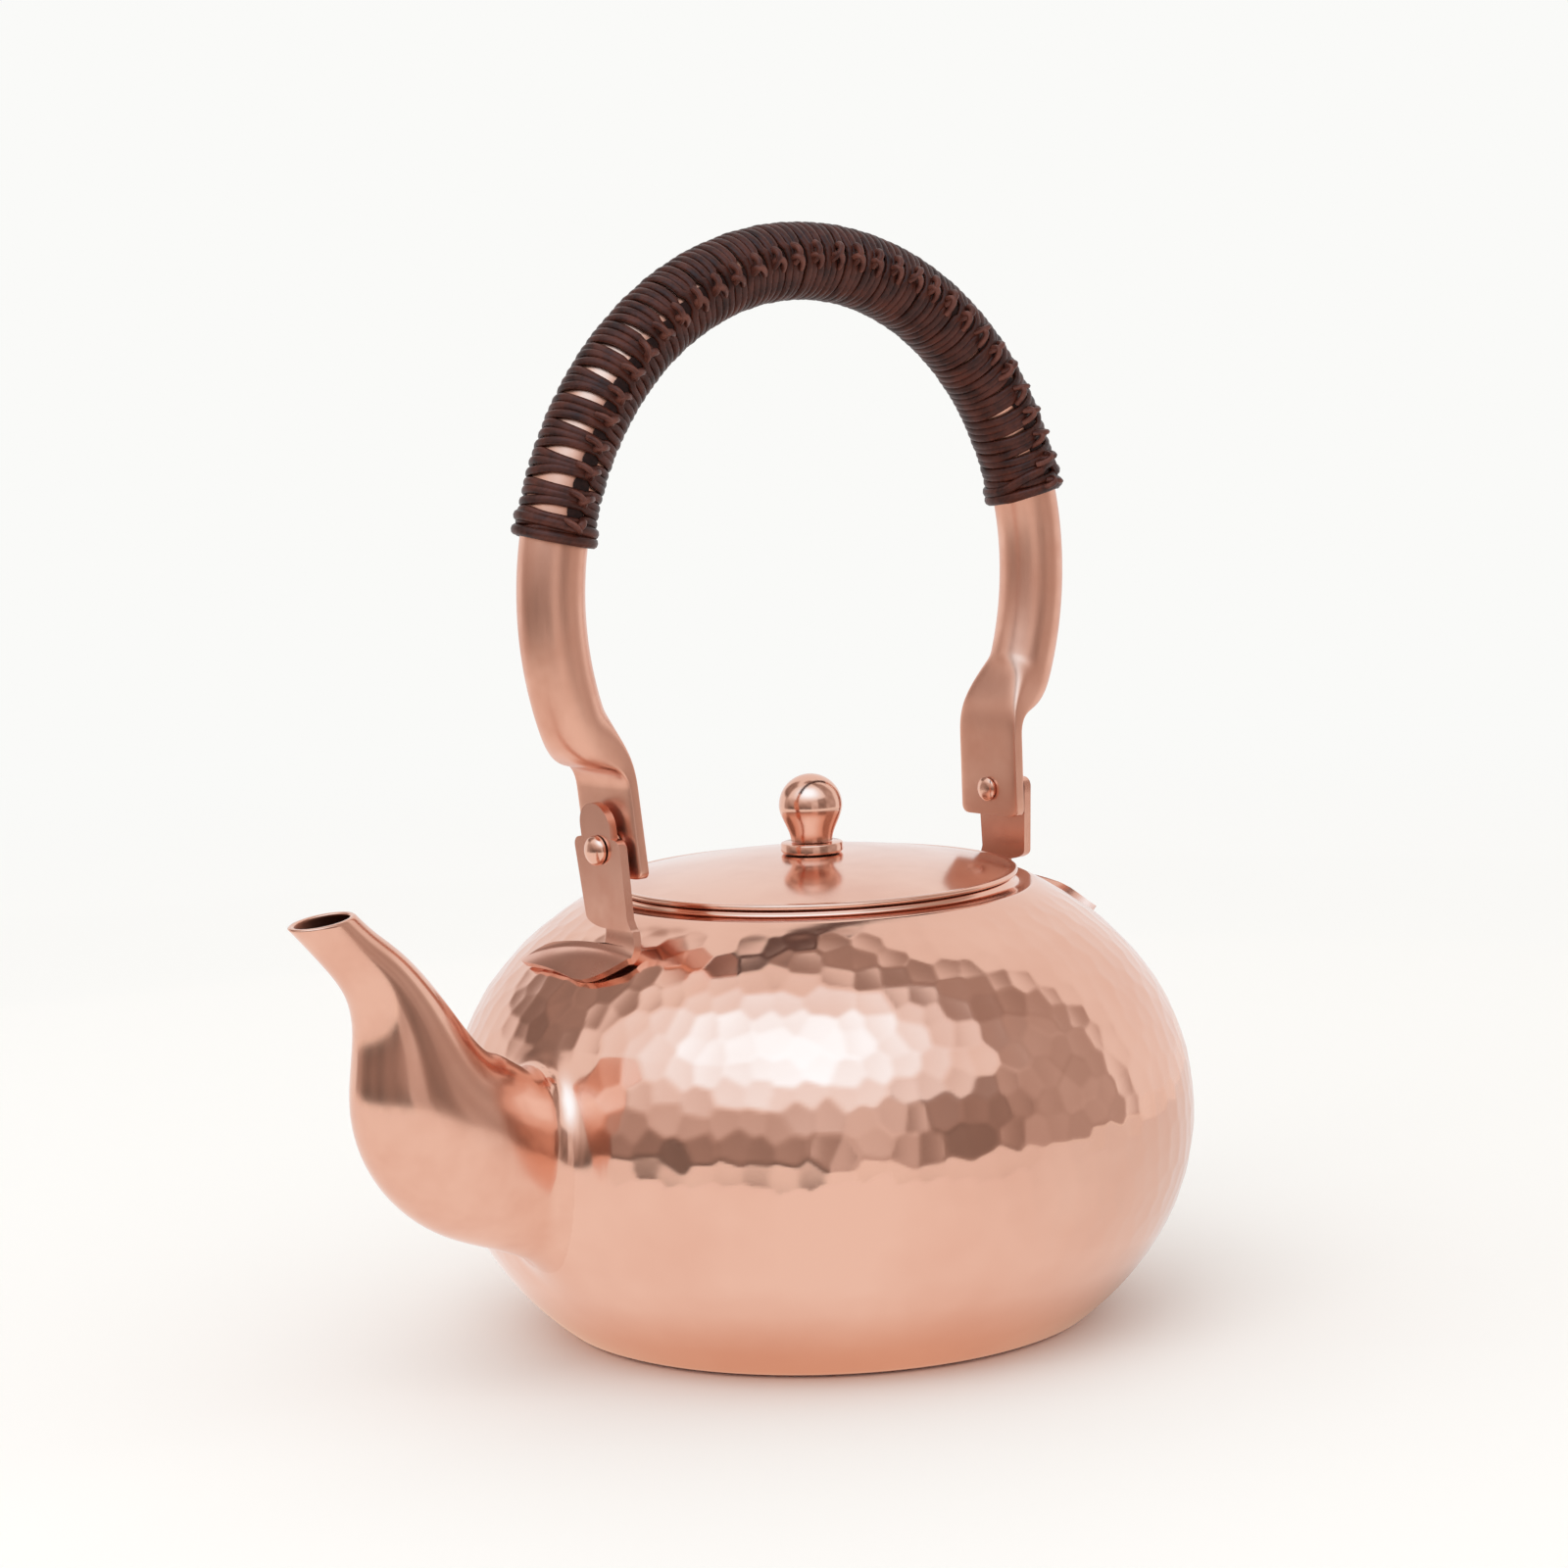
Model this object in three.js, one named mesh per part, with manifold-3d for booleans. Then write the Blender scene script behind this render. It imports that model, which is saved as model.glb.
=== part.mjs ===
// A hammered copper tea kettle: a raised one-piece body with a welded goose-neck spout, two riveted
// ears that carry a swinging bail handle of flattened tube, and a lift-off lid with a turned knob.
// Millimetres, +Z up. The origin is the centre of the flat base, and the spout points along -X.

import * as THREE from 'three';
import { mergeVertices } from 'three/addons/utils/BufferGeometryUtils.js';
import Module from 'manifold-3d';

const wasm = await Module();
wasm.setup();

// Clearances
const seamGap = 0.3; // between pieces that are brazed, pressed or laid together
const pinClearance = 0.15; // radial, round a rivet or a stem
const lidClearance = 0.7; // radial, between the lid's flange and the mouth

// Body
const bellyRadius = 82.5;
const bellyHeight = 45.5; // of the widest ring above the base
const crownDepth = 61.3; // semi-axis of the upper half
const crownPower = 2.108; // a little squarer than an ellipse
const bowlDepth = 62.2; // semi-axis of the lower half, cut off by the flat base
const bowlPower = 2.052;
const bodyWall = 1.2;
const baseEdge = 1.4; // width of the eased edge round the base
const mouthRadius = 43.2;
const neckHeight = 1.6; // low collar round the mouth that the lid sits on
const seatWidth = 4.6; // flat ring round the foot of the collar
const roundSteps = 48; // facets round the body and the lid
const profileSteps = 7; // facets up each half of the belly
const pinSteps = 16; // facets round the rivets and their holes
const knobSteps = 24; // facets round the knob and the port

// Spout: its spine leaves the belly and turns up in a goose neck
const spoutReach = 49.4; // of the lip, outward from the belly's widest ring
const spoutRise = 60.4; // of the lip, above that ring
const spoutDepth = 19.6; // largest half size in the plane of the spine
const spoutWidth = 15; // largest half size across it
// Stations from the root to the lip as drawn, in millimetres: outward, up, half depth and half width.
// They are scaled to the four sizes above, which the third and the last one carry
const spoutDrawing = [
  [-12.4, -3, 19.5, 14.4],
  [1.8, 2.7, 18.8, 14],
  [17, 9.7, 19.6, 15],
  [25.6, 19, 18, 14.2],
  [29.7, 32, 12.4, 11.2],
  [32.3, 40, 9.4, 9],
  [37.3, 48.3, 7.1, 7.1],
  [43.5, 54.4, 6, 6],
  [49.4, 60.4, 5.9, 5.9],
];
const [drawnReach, drawnRise] = spoutDrawing.at(-1);
const [, , drawnDepth, drawnWidth] = spoutDrawing[2];
const spoutStations = spoutDrawing.map(([out, up, deep, wide]) => ({
  out: out * (spoutReach / drawnReach),
  up: up * (spoutRise / drawnRise),
  deep: deep * (spoutDepth / drawnDepth),
  wide: wide * (spoutWidth / drawnWidth),
}));
const spoutWall = 1.1;
const spoutFillet = 6; // blend between the spout's root and the belly
const filletReach = 0.85; // share of the blend's quarter round that is kept
const spoutAround = 20; // facets round the spout
const spoutRings = 16;
const lipTilt = 7; // degrees that the cut of the lip falls away towards the tip
const lipBegins = 0.72; // share of the spine from which the sections turn to the cut of the lip
const portRadius = 11.5; // hole in the belly behind the spout

// Lid
const lidOverhang = 2; // beyond the mouth
const lidRise = 5.1; // from the rim bead to the middle of the dome
const lidWall = 0.9;
const rimBead = 0.6; // radius of the rolled edge
const rimStep = 0.36; // from the middle of the bead up to the foot of the dome
const flangeWall = 0.9;
const flangeDepth = 7; // below the foot of the collar

// Knob
const stemRadius = 2.2;
const stemTail = 1.1; // peened end under the burr
const stemTailRadius = 3.3;
const collarRadius = 6.9;
const collarThickness = 2.1;
const knobFootRadius = 4.6;
const knobBallRadius = 7;
const knobHeight = 14.8; // above the collar
const burrRadius = 5;
const burrThickness = 1.2;

// Ears
const earSetback = 9.4; // from the edge of the flat ring to the inner face of the ear
const earThickness = 2;
const earHalfWidth = 7.6;
const earTaper = 0.7; // taken off each edge between the shoulder and the bend
const shoulderRise = 2.6; // above the rivet
const shoulderRound = 2;
const tongueRise = 10; // above the rivet
const tongueHalfWidth = 4.9;
const tongueBlunt = 0.12; // share of each quarter round left flat at the top
const neckWidth = 8.2;
const neckRise = 5.4; // from the crown of the body up to the foot of the strap
const cornerDrop = 2.4; // height of the rounded lower corner of the strap
const heelLead = 0.3; // share of the heel reached at the foot of the strap
const leafReach = 7.4; // how far the foot spreads out over the shoulder of the body
const leafTip = 25.4; // from the middle of the strap to the pointed end
const leafHeel = 11.4; // from the middle of the strap to the rounded end
const leafPeak = 1; // from the middle of the strap to the widest place
const leafThickness = 1.6;
const leafCrown = 1.1; // spoon-shaped bulge
const leafBlunt = 0.04; // share of the leaf left off at its widest place
const leafSweep = 1.6; // how fully the lower edge runs out to the pointed end
const bendShare = 0.34; // of the reach, taken up by the bend
const frontLean = 8; // degrees that the front strap and tab lean about the rivet, as bent by hand

// Pivots
const pivotRise = 15.5; // of the pivot axis above the foot of the collar
const pivotGap = 1.4; // between ear and handle
const washerRadius = 4.6;
const washerPlay = 0.25; // on each face
const rivetRadius = 2.2;
const rivetHeadRadius = 3.2;
const rivetHeadHeight = 2;
const rivetTailRadius = 2.7;
const rivetTailHeight = 1.1;

// Handle
const tubeRadius = 7.2;
const tubeWall = 1.15;
const tabSlit = 0.5; // left between the pressed walls
const tabWidth = 18.4;
const tabDrop = 6; // below the pivot axis
const tabCorner = 1.8;
const tabRise = 12.6; // flat height above the pivot axis
const archRadius = 70;
const archRise = 51.8; // of the arch's centre above the pivot axis
const archDip = 19; // degrees that the arch runs on below its centre
const sweepLength = 9; // pull of the double bend at each of its ends
const tubeSteps = 14; // facets round the tube and the grip
const legSteps = 4; // stations on each bare leg of the arch
const gripSteps = 18; // stations of the tube inside the grip

// Grip wrap
const wrapStart = 12.7; // degrees above the arch's centre, at both ends
const wrapThickness = 1.05;
const ribPitch = 6.2; // one bundle of cord turns
const ribDepth = 0.25;
const endBead = 0.6; // the thicker loops that close both ends
const hitchRidge = 0.8; // the row of hitches along the -Y flank
const hitchSpread = 34; // degrees either side of its middle
const hitchTurn = 12; // degrees that its middle lies beyond the flank, towards the outside of the arch

// Derived places
const collarFoot = mouthRadius + bodyWall;
const seatRadius = collarFoot + seatWidth;
const seatZ = crownHeightAt(seatRadius);
const pivotZ = seatZ + pivotRise;
const archZ = pivotZ + archRise;
const earInner = seatRadius + earSetback;
const earMiddle = earInner + earThickness / 2;
const earOuter = earInner + earThickness;
const tabThickness = 2 * tubeWall + tabSlit;
const tabOuter = earInner - pivotGap;
const tabMiddle = tabOuter - tabThickness / 2;
const tabInner = tabOuter - tabThickness;
const lidRadius = mouthRadius + lidOverhang;
const mouthZ = seatZ + neckHeight;
const lidRimZ = mouthZ + seamGap + rimBead;
const lidTopZ = lidRimZ + lidRise;
const lidUnderZ = lidTopZ - lidWall;

// Materials
const copper = (roughness, colour = '#d9977c') => new THREE.MeshStandardMaterial({
  color: colour,
  roughness,
  metalness: 1,
});
const hammeredCopper = copper(0.22);
const polishedCopper = copper(0.14, '#dd9a80');
const satinCopper = copper(0.36, '#cf8f77');
const waxedCord = new THREE.MeshStandardMaterial({ color: '#3b2320', roughness: 0.62, metalness: 0 });

// Height of the body's upper surface at a radius
function crownHeightAt(radius) {
  const share = Math.min(1, radius / bellyRadius);
  return bellyHeight + crownDepth * (1 - share ** crownPower) ** (1 / crownPower);
}

// Radius of the body's outer surface at a height
function bellyRadiusAt(z) {
  const [depth, power] = z > bellyHeight ? [crownDepth, crownPower] : [bowlDepth, bowlPower];
  const share = Math.min(1, Math.abs(z - bellyHeight) / depth);
  return bellyRadius * (1 - share ** power) ** (1 / power);
}

function lerp(from, to, share) {
  return from + (to - from) * share;
}

// Section through the belly from a floor height up to a top height, grown by an even layer
function bellyProfile(grow, floorZ, topZ, steps) {
  const radius = bellyRadius + grow;
  const bowl = bowlDepth + grow;
  const crown = crownDepth + grow;
  const lowest = Math.asin(((bellyHeight - floorZ) / bowl) ** (bowlPower / 2));
  const highest = Math.asin(((topZ - bellyHeight) / crown) ** (crownPower / 2));
  const points = [];
  for (let i = 0; i < steps; i += 1) {
    const turn = lowest * (1 - i / steps);
    const r = radius * Math.cos(turn) ** (2 / bowlPower);
    points.push(new THREE.Vector2(r, bellyHeight - bowl * Math.sin(turn) ** (2 / bowlPower)));
  }
  for (let i = 0; i <= steps; i += 1) {
    const turn = highest * i / steps;
    const r = radius * Math.cos(turn) ** (2 / crownPower);
    points.push(new THREE.Vector2(r, bellyHeight + crown * Math.sin(turn) ** (2 / crownPower)));
  }
  return points;
}

// Points on an arc in a profile, from one angle to another in degrees
function arc(centreR, centreZ, radius, fromAngle, toAngle, steps) {
  const points = [];
  for (let i = 0; i <= steps; i += 1) {
    const angle = THREE.MathUtils.degToRad(lerp(fromAngle, toAngle, i / steps));
    points.push(new THREE.Vector2(centreR + radius * Math.cos(angle), centreZ + radius * Math.sin(angle)));
  }
  return points;
}

// Welds shared corners and turns the faces outward
function closed(geometry) {
  const bare = new THREE.BufferGeometry();
  bare.setAttribute('position', geometry.getAttribute('position'));
  bare.setIndex(geometry.getIndex());
  const welded = mergeVertices(bare, 1e-4);
  const corners = welded.getAttribute('position');
  const source = welded.getIndex().array;
  const faces = [];
  const [a, b, c] = [new THREE.Vector3(), new THREE.Vector3(), new THREE.Vector3()];
  let volume = 0;
  for (let i = 0; i < source.length; i += 3) {
    const [p, q, r] = [source[i], source[i + 1], source[i + 2]];
    if (p === q || q === r || r === p) continue;
    faces.push(p, q, r);
    a.fromBufferAttribute(corners, p);
    b.fromBufferAttribute(corners, q);
    c.fromBufferAttribute(corners, r);
    volume += a.dot(b.cross(c));
  }
  if (volume < 0) faces.reverse();
  welded.setIndex(faces);
  return welded;
}

// A profile of radius and height turned about Z
function revolve(profile, steps) {
  const turned = new THREE.LatheGeometry(profile, steps);
  turned.rotateX(Math.PI / 2);
  return closed(turned);
}

// A skin through rings of equal count, closed on itself like a pipe wall or capped at both ends
function loft(rings, isPipe) {
  const count = rings[0].length;
  const positions = rings.flat().flatMap((point) => point.toArray());
  const faces = [];
  const quad = (p, q, r, s) => faces.push(p, q, r, p, r, s);
  const spans = isPipe ? rings.length : rings.length - 1;
  for (let i = 0; i < spans; i += 1) {
    const here = i * count;
    const next = ((i + 1) % rings.length) * count;
    for (let k = 0; k < count; k += 1) {
      const beside = (k + 1) % count;
      quad(here + k, here + beside, next + beside, next + k);
    }
  }
  if (!isPipe) {
    const last = (rings.length - 1) * count;
    for (let k = 0; k < count / 2 - 1; k += 1) {
      const far = count - 1 - k;
      quad(far, far - 1, k + 1, k);
      quad(last + k, last + k + 1, last + far - 1, last + far);
    }
  }
  const skin = new THREE.BufferGeometry();
  skin.setAttribute('position', new THREE.Float32BufferAttribute(positions, 3));
  skin.setIndex(faces);
  return closed(skin);
}

function toSolid(geometry) {
  const vertProperties = new Float32Array(geometry.getAttribute('position').array);
  const triVerts = new Uint32Array(geometry.getIndex().array);
  return new wasm.Manifold(new wasm.Mesh({ numProp: 3, vertProperties, triVerts }));
}

function fromSolid(solid) {
  const { vertProperties, triVerts } = solid.getMesh();
  const geometry = new THREE.BufferGeometry();
  geometry.setAttribute('position', new THREE.Float32BufferAttribute(vertProperties, 3));
  geometry.setIndex(Array.from(triVerts));
  return geometry;
}

function cut(geometry, ...tools) {
  const solid = tools.reduce((rest, tool) => rest.subtract(toSolid(tool)), toSolid(geometry));
  return fromSolid(solid);
}

// A round bar along X between two places
function barAlongX(radius, fromX, toX, z, steps) {
  const bar = new THREE.CylinderGeometry(radius, radius, Math.abs(toX - fromX), steps);
  bar.rotateZ(Math.PI / 2);
  bar.translate((fromX + toX) / 2, 0, z);
  return closed(bar);
}

// The raised body: flat base, round belly, and a low collar round the mouth
function bodyShell() {
  const outside = bellyProfile(0, 0, seatZ, profileSteps);
  const inside = bellyProfile(-bodyWall, bodyWall, seatZ - bodyWall, profileSteps - 2);
  const foot = outside.shift();
  const profile = [
    new THREE.Vector2(0, 0),
    new THREE.Vector2(foot.x - baseEdge, 0),
    new THREE.Vector2(foot.x + baseEdge / 2, baseEdge / 2),
    ...outside,
    new THREE.Vector2(collarFoot, seatZ),
    new THREE.Vector2(collarFoot, mouthZ),
    new THREE.Vector2(mouthRadius, mouthZ),
    new THREE.Vector2(mouthRadius, seatZ - bodyWall),
    ...inside.reverse(),
    new THREE.Vector2(0, bodyWall),
  ];
  const portZ = bellyHeight + spoutStations[1].up;
  const port = barAlongX(portRadius, -bellyRadius / 2, -2 * bellyRadius, portZ, knobSteps);
  return cut(revolve(profile, roundSteps), port);
}

// Space that the body takes up, with the seam round it, for trimming what is brazed to it
function bodyEnvelope() {
  const outside = bellyProfile(seamGap, 0, seatZ, profileSteps);
  return revolve([new THREE.Vector2(0, 0), ...outside, new THREE.Vector2(0, seatZ)], roundSteps);
}

// Outward offset that blends the spout's root into the belly at a point of the spout
function rootBlend(point) {
  const away = Math.hypot(point.x, point.y) - bellyRadiusAt(point.z);
  const near = THREE.MathUtils.clamp(spoutFillet - away, 0, spoutFillet * filletReach);
  return spoutFillet - Math.sqrt(spoutFillet ** 2 - near ** 2);
}

// The goose-neck spout, hollow from the port to the lip and trimmed to the belly
function spout() {
  const spine = new THREE.CatmullRomCurve3(spoutStations.map(
    ({ out, up }) => new THREE.Vector3(-bellyRadius - out, 0, bellyHeight + up),
  ));
  const sizes = new THREE.SplineCurve(spoutStations.map(({ deep, wide }) => new THREE.Vector2(deep, wide)));
  const tilt = THREE.MathUtils.degToRad(lipTilt);
  const lipNormal = new THREE.Vector3(-Math.sin(tilt), 0, Math.cos(tilt));
  const ring = (share, inset) => {
    const middle = spine.getPoint(share);
    const along = spine.getTangent(share);
    const size = sizes.getPoint(share);
    const lean = THREE.MathUtils.smoothstep(share, lipBegins, 1);
    return Array.from({ length: spoutAround }, (_, k) => {
      const angle = 2 * Math.PI * k / spoutAround;
      const spoke = new THREE.Vector3(-along.z * Math.cos(angle), Math.sin(angle), along.x * Math.cos(angle));
      const reach = new THREE.Vector3(size.x - inset, size.y - inset, size.x - inset).multiply(spoke);
      const point = middle.clone().add(reach);
      if (inset === 0) point.addScaledVector(spoke, rootBlend(point));
      const toLip = middle.clone().sub(point).dot(lipNormal) / along.dot(lipNormal);
      return point.addScaledVector(along, lean * toLip);
    });
  };
  const shares = Array.from({ length: spoutRings + 1 }, (_, i) => i / spoutRings);
  const outside = shares.map((share) => ring(share, 0));
  const inside = shares.map((share) => ring(share, spoutWall));
  return cut(loft([...outside, ...inside.reverse()], true), bodyEnvelope());
}

// A point on the middle of the ear's sheet. The strap hangs straight, turns out in a short bend and
// lies over the shoulder of the body as a leaf. Stages 0 to 1, 1 to 2 and 2 to 3 are these three.
function earPoint(stage, y) {
  const bendOut = leafReach * bendShare;
  const strapTop = pivotZ + tongueRise;
  const strapFoot = crownHeightAt(earMiddle) + neckRise;
  const leafAt = (out) => {
    const share = out / leafReach;
    const bulge = leafCrown * 4 * share * (1 - share);
    const lift = seamGap + leafThickness / 2 + bulge;
    return new THREE.Vector3(-earMiddle - out, y, crownHeightAt(Math.hypot(earMiddle + out, y)) + lift);
  };
  if (stage <= 1) return new THREE.Vector3(-earMiddle, y, lerp(strapTop, strapFoot, stage));
  if (stage >= 2) return leafAt(lerp(bendOut, leafReach, stage - 2));
  const bend = new THREE.QuadraticBezierCurve3(
    new THREE.Vector3(-earMiddle, y, strapFoot), leafAt(0), leafAt(bendOut),
  );
  return bend.getPoint(stage - 1);
}

// Sideways shift at a height of what leans about the rivet
function leanAt(z, lean) {
  return (z - pivotZ) * Math.tan(THREE.MathUtils.degToRad(lean));
}

// Edges of the ear's sheet at each stage: the tongue, the shoulders, the strap, the neck and the leaf
function earRows(lean) {
  const strapTop = pivotZ + tongueRise;
  const strapFoot = crownHeightAt(earMiddle) + neckRise;
  const shoulderZ = pivotZ + shoulderRise;
  const footHalf = earHalfWidth - earTaper;
  const neckLeft = neckWidth - earHalfWidth;
  const cornerRound = footHalf - neckLeft;
  const rows = [];
  const strapRow = (z, right, left) => {
    const shift = leanAt(z, lean);
    rows.push({ stage: (strapTop - z) / (strapTop - strapFoot), right: right + shift, left: left + shift });
  };
  const quarter = (steps, place) => {
    for (let i = 0; i <= steps; i += 1) place(Math.PI / 2 * i / steps, i / steps);
  };
  quarter(5, (_, share) => {
    const angle = Math.PI / 2 * lerp(tongueBlunt, 1, share);
    const half = tongueHalfWidth * Math.sin(angle);
    strapRow(strapTop - tongueHalfWidth * (1 - Math.cos(angle)), -half, half);
  });
  strapRow(shoulderZ + shoulderRound / 20, -tongueHalfWidth, tongueHalfWidth);
  quarter(3, (angle) => {
    const half = earHalfWidth - shoulderRound * (1 - Math.sin(angle));
    strapRow(shoulderZ - shoulderRound * (1 - Math.cos(angle)), -half, half);
  });
  quarter(4, (angle, share) => {
    const right = -lerp(footHalf, leafHeel, heelLead * share);
    const left = footHalf - cornerRound * (1 - Math.cos(angle));
    strapRow(strapFoot + cornerDrop * (1 - Math.sin(angle)), right, left);
  });
  const neckEdge = neckLeft + leanAt(strapFoot, lean);
  const bendRows = [[1.25, neckEdge], [1.5, neckEdge], [1.56, leafTip * 0.7], [1.8, leafTip * 0.88]];
  bendRows.forEach(([stage, left]) => rows.push({ stage, right: -leafHeel, left }));
  const leafSteps = 6;
  for (let i = 0; i <= leafSteps; i += 1) {
    const onLeaf = (1 - leafBlunt) * i / leafSteps;
    const share = lerp(bendShare, 1, onLeaf);
    const right = -leafHeel + (leafHeel + leafPeak) * (1 - Math.sqrt(1 - share * share));
    rows.push({ stage: 2 + onLeaf, right, left: lerp(leafTip, leafPeak, onLeaf ** leafSweep) });
  }
  return rows;
}

// One ear, cut and bent from sheet, with its rivet hole. The rear one is turned round and stands upright.
function ear(lean) {
  const across = 6;
  const small = 0.01;
  const rings = earRows(lean).map(({ stage, right, left }) => {
    const thickness = lerp(earThickness, leafThickness, THREE.MathUtils.smoothstep(stage, 1.5, 2));
    const front = [];
    const back = [];
    for (let k = 0; k <= across; k += 1) {
      const y = lerp(right, left, k / across);
      const point = earPoint(stage, y);
      const down = earPoint(stage + small, y).sub(earPoint(stage - small, y));
      const side = earPoint(stage, y + small).sub(earPoint(stage, y - small));
      const normal = down.cross(side).normalize();
      front.push(point.clone().addScaledVector(normal, thickness / 2));
      back.unshift(point.clone().addScaledVector(normal, -thickness / 2));
    }
    return [...front, ...back];
  });
  const hole = barAlongX(rivetRadius + pinClearance, -tabInner, -2 * earOuter, pivotZ, pinSteps);
  return cut(loft(rings, false), hole);
}

// A rivet with a domed head outside the ear and a peened tail inside the handle, drawn along +Z
function rivet() {
  const tailZ = tabInner - seamGap;
  const headZ = earOuter + seamGap;
  const dome = [0.35, 0.7, 0.92].map((share) => new THREE.Vector2(
    rivetHeadRadius * Math.sqrt(1 - share * share), headZ + rivetHeadHeight * share,
  ));
  const shank = revolve([
    new THREE.Vector2(0, tailZ - rivetTailHeight),
    new THREE.Vector2(rivetTailRadius * 0.8, tailZ - rivetTailHeight),
    new THREE.Vector2(rivetTailRadius, tailZ - rivetTailHeight * 0.6),
    new THREE.Vector2(rivetTailRadius, tailZ),
    new THREE.Vector2(rivetRadius, tailZ),
    new THREE.Vector2(rivetRadius, headZ),
    new THREE.Vector2(rivetHeadRadius, headZ),
    ...dome,
    new THREE.Vector2(0, headZ + rivetHeadHeight),
  ], pinSteps);
  shank.rotateY(-Math.PI / 2);
  shank.translate(0, 0, pivotZ);
  return shank;
}

// A spacing washer between ear and handle
function pivotWasher() {
  const hole = rivetRadius + pinClearance;
  const ring = revolve([
    new THREE.Vector2(hole, tabOuter + washerPlay),
    new THREE.Vector2(washerRadius, tabOuter + washerPlay),
    new THREE.Vector2(washerRadius, earInner - washerPlay),
    new THREE.Vector2(hole, earInner - washerPlay),
    new THREE.Vector2(hole, tabOuter + washerPlay),
  ], pinSteps);
  ring.rotateY(-Math.PI / 2);
  ring.translate(0, 0, pivotZ);
  return ring;
}

// A place on the arch, by its angle in degrees from the spout side over the top
function archPlace(angle) {
  const turn = THREE.MathUtils.degToRad(angle);
  return {
    x: -archRadius * Math.cos(turn),
    z: archZ + archRadius * Math.sin(turn),
    alongX: Math.sin(turn),
    alongZ: Math.cos(turn),
  };
}

// A rounded section of the handle across its run: a circle where flat is 0, a pressed tab where it is 1
function handleRing({ x, z, alongX, alongZ, flat = 0, trim = 0, lean = 0 }, inset) {
  const deep = lerp(tubeRadius, tabThickness / 2, flat) - inset;
  const wide = lerp(tubeRadius, tabWidth / 2, flat) - trim - inset;
  const power = 2 / lerp(2, 8, flat);
  const shift = flat * leanAt(z, lean);
  return Array.from({ length: tubeSteps }, (_, k) => {
    const angle = 2 * Math.PI * k / tubeSteps;
    const cos = Math.cos(angle);
    const sin = Math.sin(angle);
    const inward = deep * Math.sign(cos) * Math.abs(cos) ** power;
    const across = wide * Math.sign(sin) * Math.abs(sin) ** power;
    return new THREE.Vector3(x + alongZ * inward, across + shift, z - alongX * inward);
  });
}

// The run of the handle from the tab on the spout side to the first place of the arch
function handleEnd() {
  const run = [];
  const bottom = pivotZ - tabDrop;
  const top = pivotZ + tabRise;
  [0, 0.12, 0.42, 1].forEach((share) => {
    const rise = tabCorner * share;
    const trim = tabCorner - Math.sqrt(tabCorner ** 2 - (tabCorner - rise) ** 2);
    run.push({ x: -tabMiddle, z: bottom + rise, alongX: 0, alongZ: 1, flat: 1, trim });
  });
  const start = archPlace(-archDip);
  const sweep = new THREE.CubicBezierCurve3(
    new THREE.Vector3(-tabMiddle, 0, top),
    new THREE.Vector3(-tabMiddle, 0, top + sweepLength),
    new THREE.Vector3(start.x - start.alongX * sweepLength, 0, start.z - start.alongZ * sweepLength),
    new THREE.Vector3(start.x, 0, start.z),
  );
  const steps = 6;
  for (let i = 0; i < steps; i += 1) {
    const point = sweep.getPoint(i / steps);
    const along = sweep.getTangent(i / steps);
    const flat = 1 - THREE.MathUtils.smoothstep(i / steps, 0, 1);
    run.push({ x: point.x, z: point.z, alongX: along.x, alongZ: along.z, flat });
  }
  return run;
}

// Places along the arch between two angles, the last one left out
function archRun(fromAngle, toAngle, steps) {
  return Array.from({ length: steps }, (_, i) => archPlace(lerp(fromAngle, toAngle, i / steps)));
}

// The bail handle: one copper tube bent to an arch, with both ends pressed flat and drilled
function handleTube() {
  const front = handleEnd();
  const rear = front.map((place) => ({ ...place, x: -place.x, alongZ: -place.alongZ })).reverse();
  const run = [
    ...front.map((place) => ({ ...place, lean: frontLean })),
    ...archRun(-archDip, wrapStart, legSteps),
    ...archRun(wrapStart, 180 - wrapStart, gripSteps),
    ...archRun(180 - wrapStart, 180 + archDip, legSteps),
    archPlace(180 + archDip),
    ...rear,
  ];
  const outside = run.map((place) => handleRing(place, 0));
  const inside = run.map((place) => handleRing(place, tubeWall));
  const hole = barAlongX(rivetRadius + pinClearance, -2 * tabOuter, 2 * tabOuter, pivotZ, pinSteps);
  return cut(loft([...outside, ...inside.reverse()], true), hole);
}

// The grip: flat cord wound round the tube in bundles, hitched along one flank and closed by end loops
function gripWrap() {
  const sweep = 180 - 2 * wrapStart;
  const bundles = Math.round(THREE.MathUtils.degToRad(sweep) * archRadius / ribPitch);
  const cordRing = ({ x, z, alongX, alongZ }, radius) => (
    Array.from({ length: tubeSteps }, (_, k) => {
      const angle = 2 * Math.PI * k / tubeSteps;
      const offRidge = Math.abs(THREE.MathUtils.radToDeg(angle) - 270 + hitchTurn) / hitchSpread;
      const reach = radius + hitchRidge * Math.max(0, 1 - offRidge);
      const inward = reach * Math.cos(angle);
      return new THREE.Vector3(x + alongZ * inward, reach * Math.sin(angle), z - alongX * inward);
    })
  );
  const outside = [];
  for (let i = 0; i <= 2 * bundles; i += 1) {
    const isEnd = i < 3 || i > 2 * bundles - 3;
    const rib = i % 2 ? ribDepth : -ribDepth;
    const radius = tubeRadius + wrapThickness + (isEnd && i % 2 ? endBead : rib);
    outside.push(cordRing(archPlace(wrapStart + sweep * i / (2 * bundles)), radius));
  }
  const bore = [...archRun(wrapStart, 180 - wrapStart, gripSteps), archPlace(180 - wrapStart)];
  const inside = bore.map((place) => handleRing(place, -seamGap));
  return loft([...outside, ...inside.reverse()], true);
}

// Height of the lid's upper surface at a radius
function lidHeightAt(radius) {
  const share = radius / (lidRadius - rimBead);
  return lidRimZ + rimStep + (lidRise - rimStep) * (1 - share ** 2);
}

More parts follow.
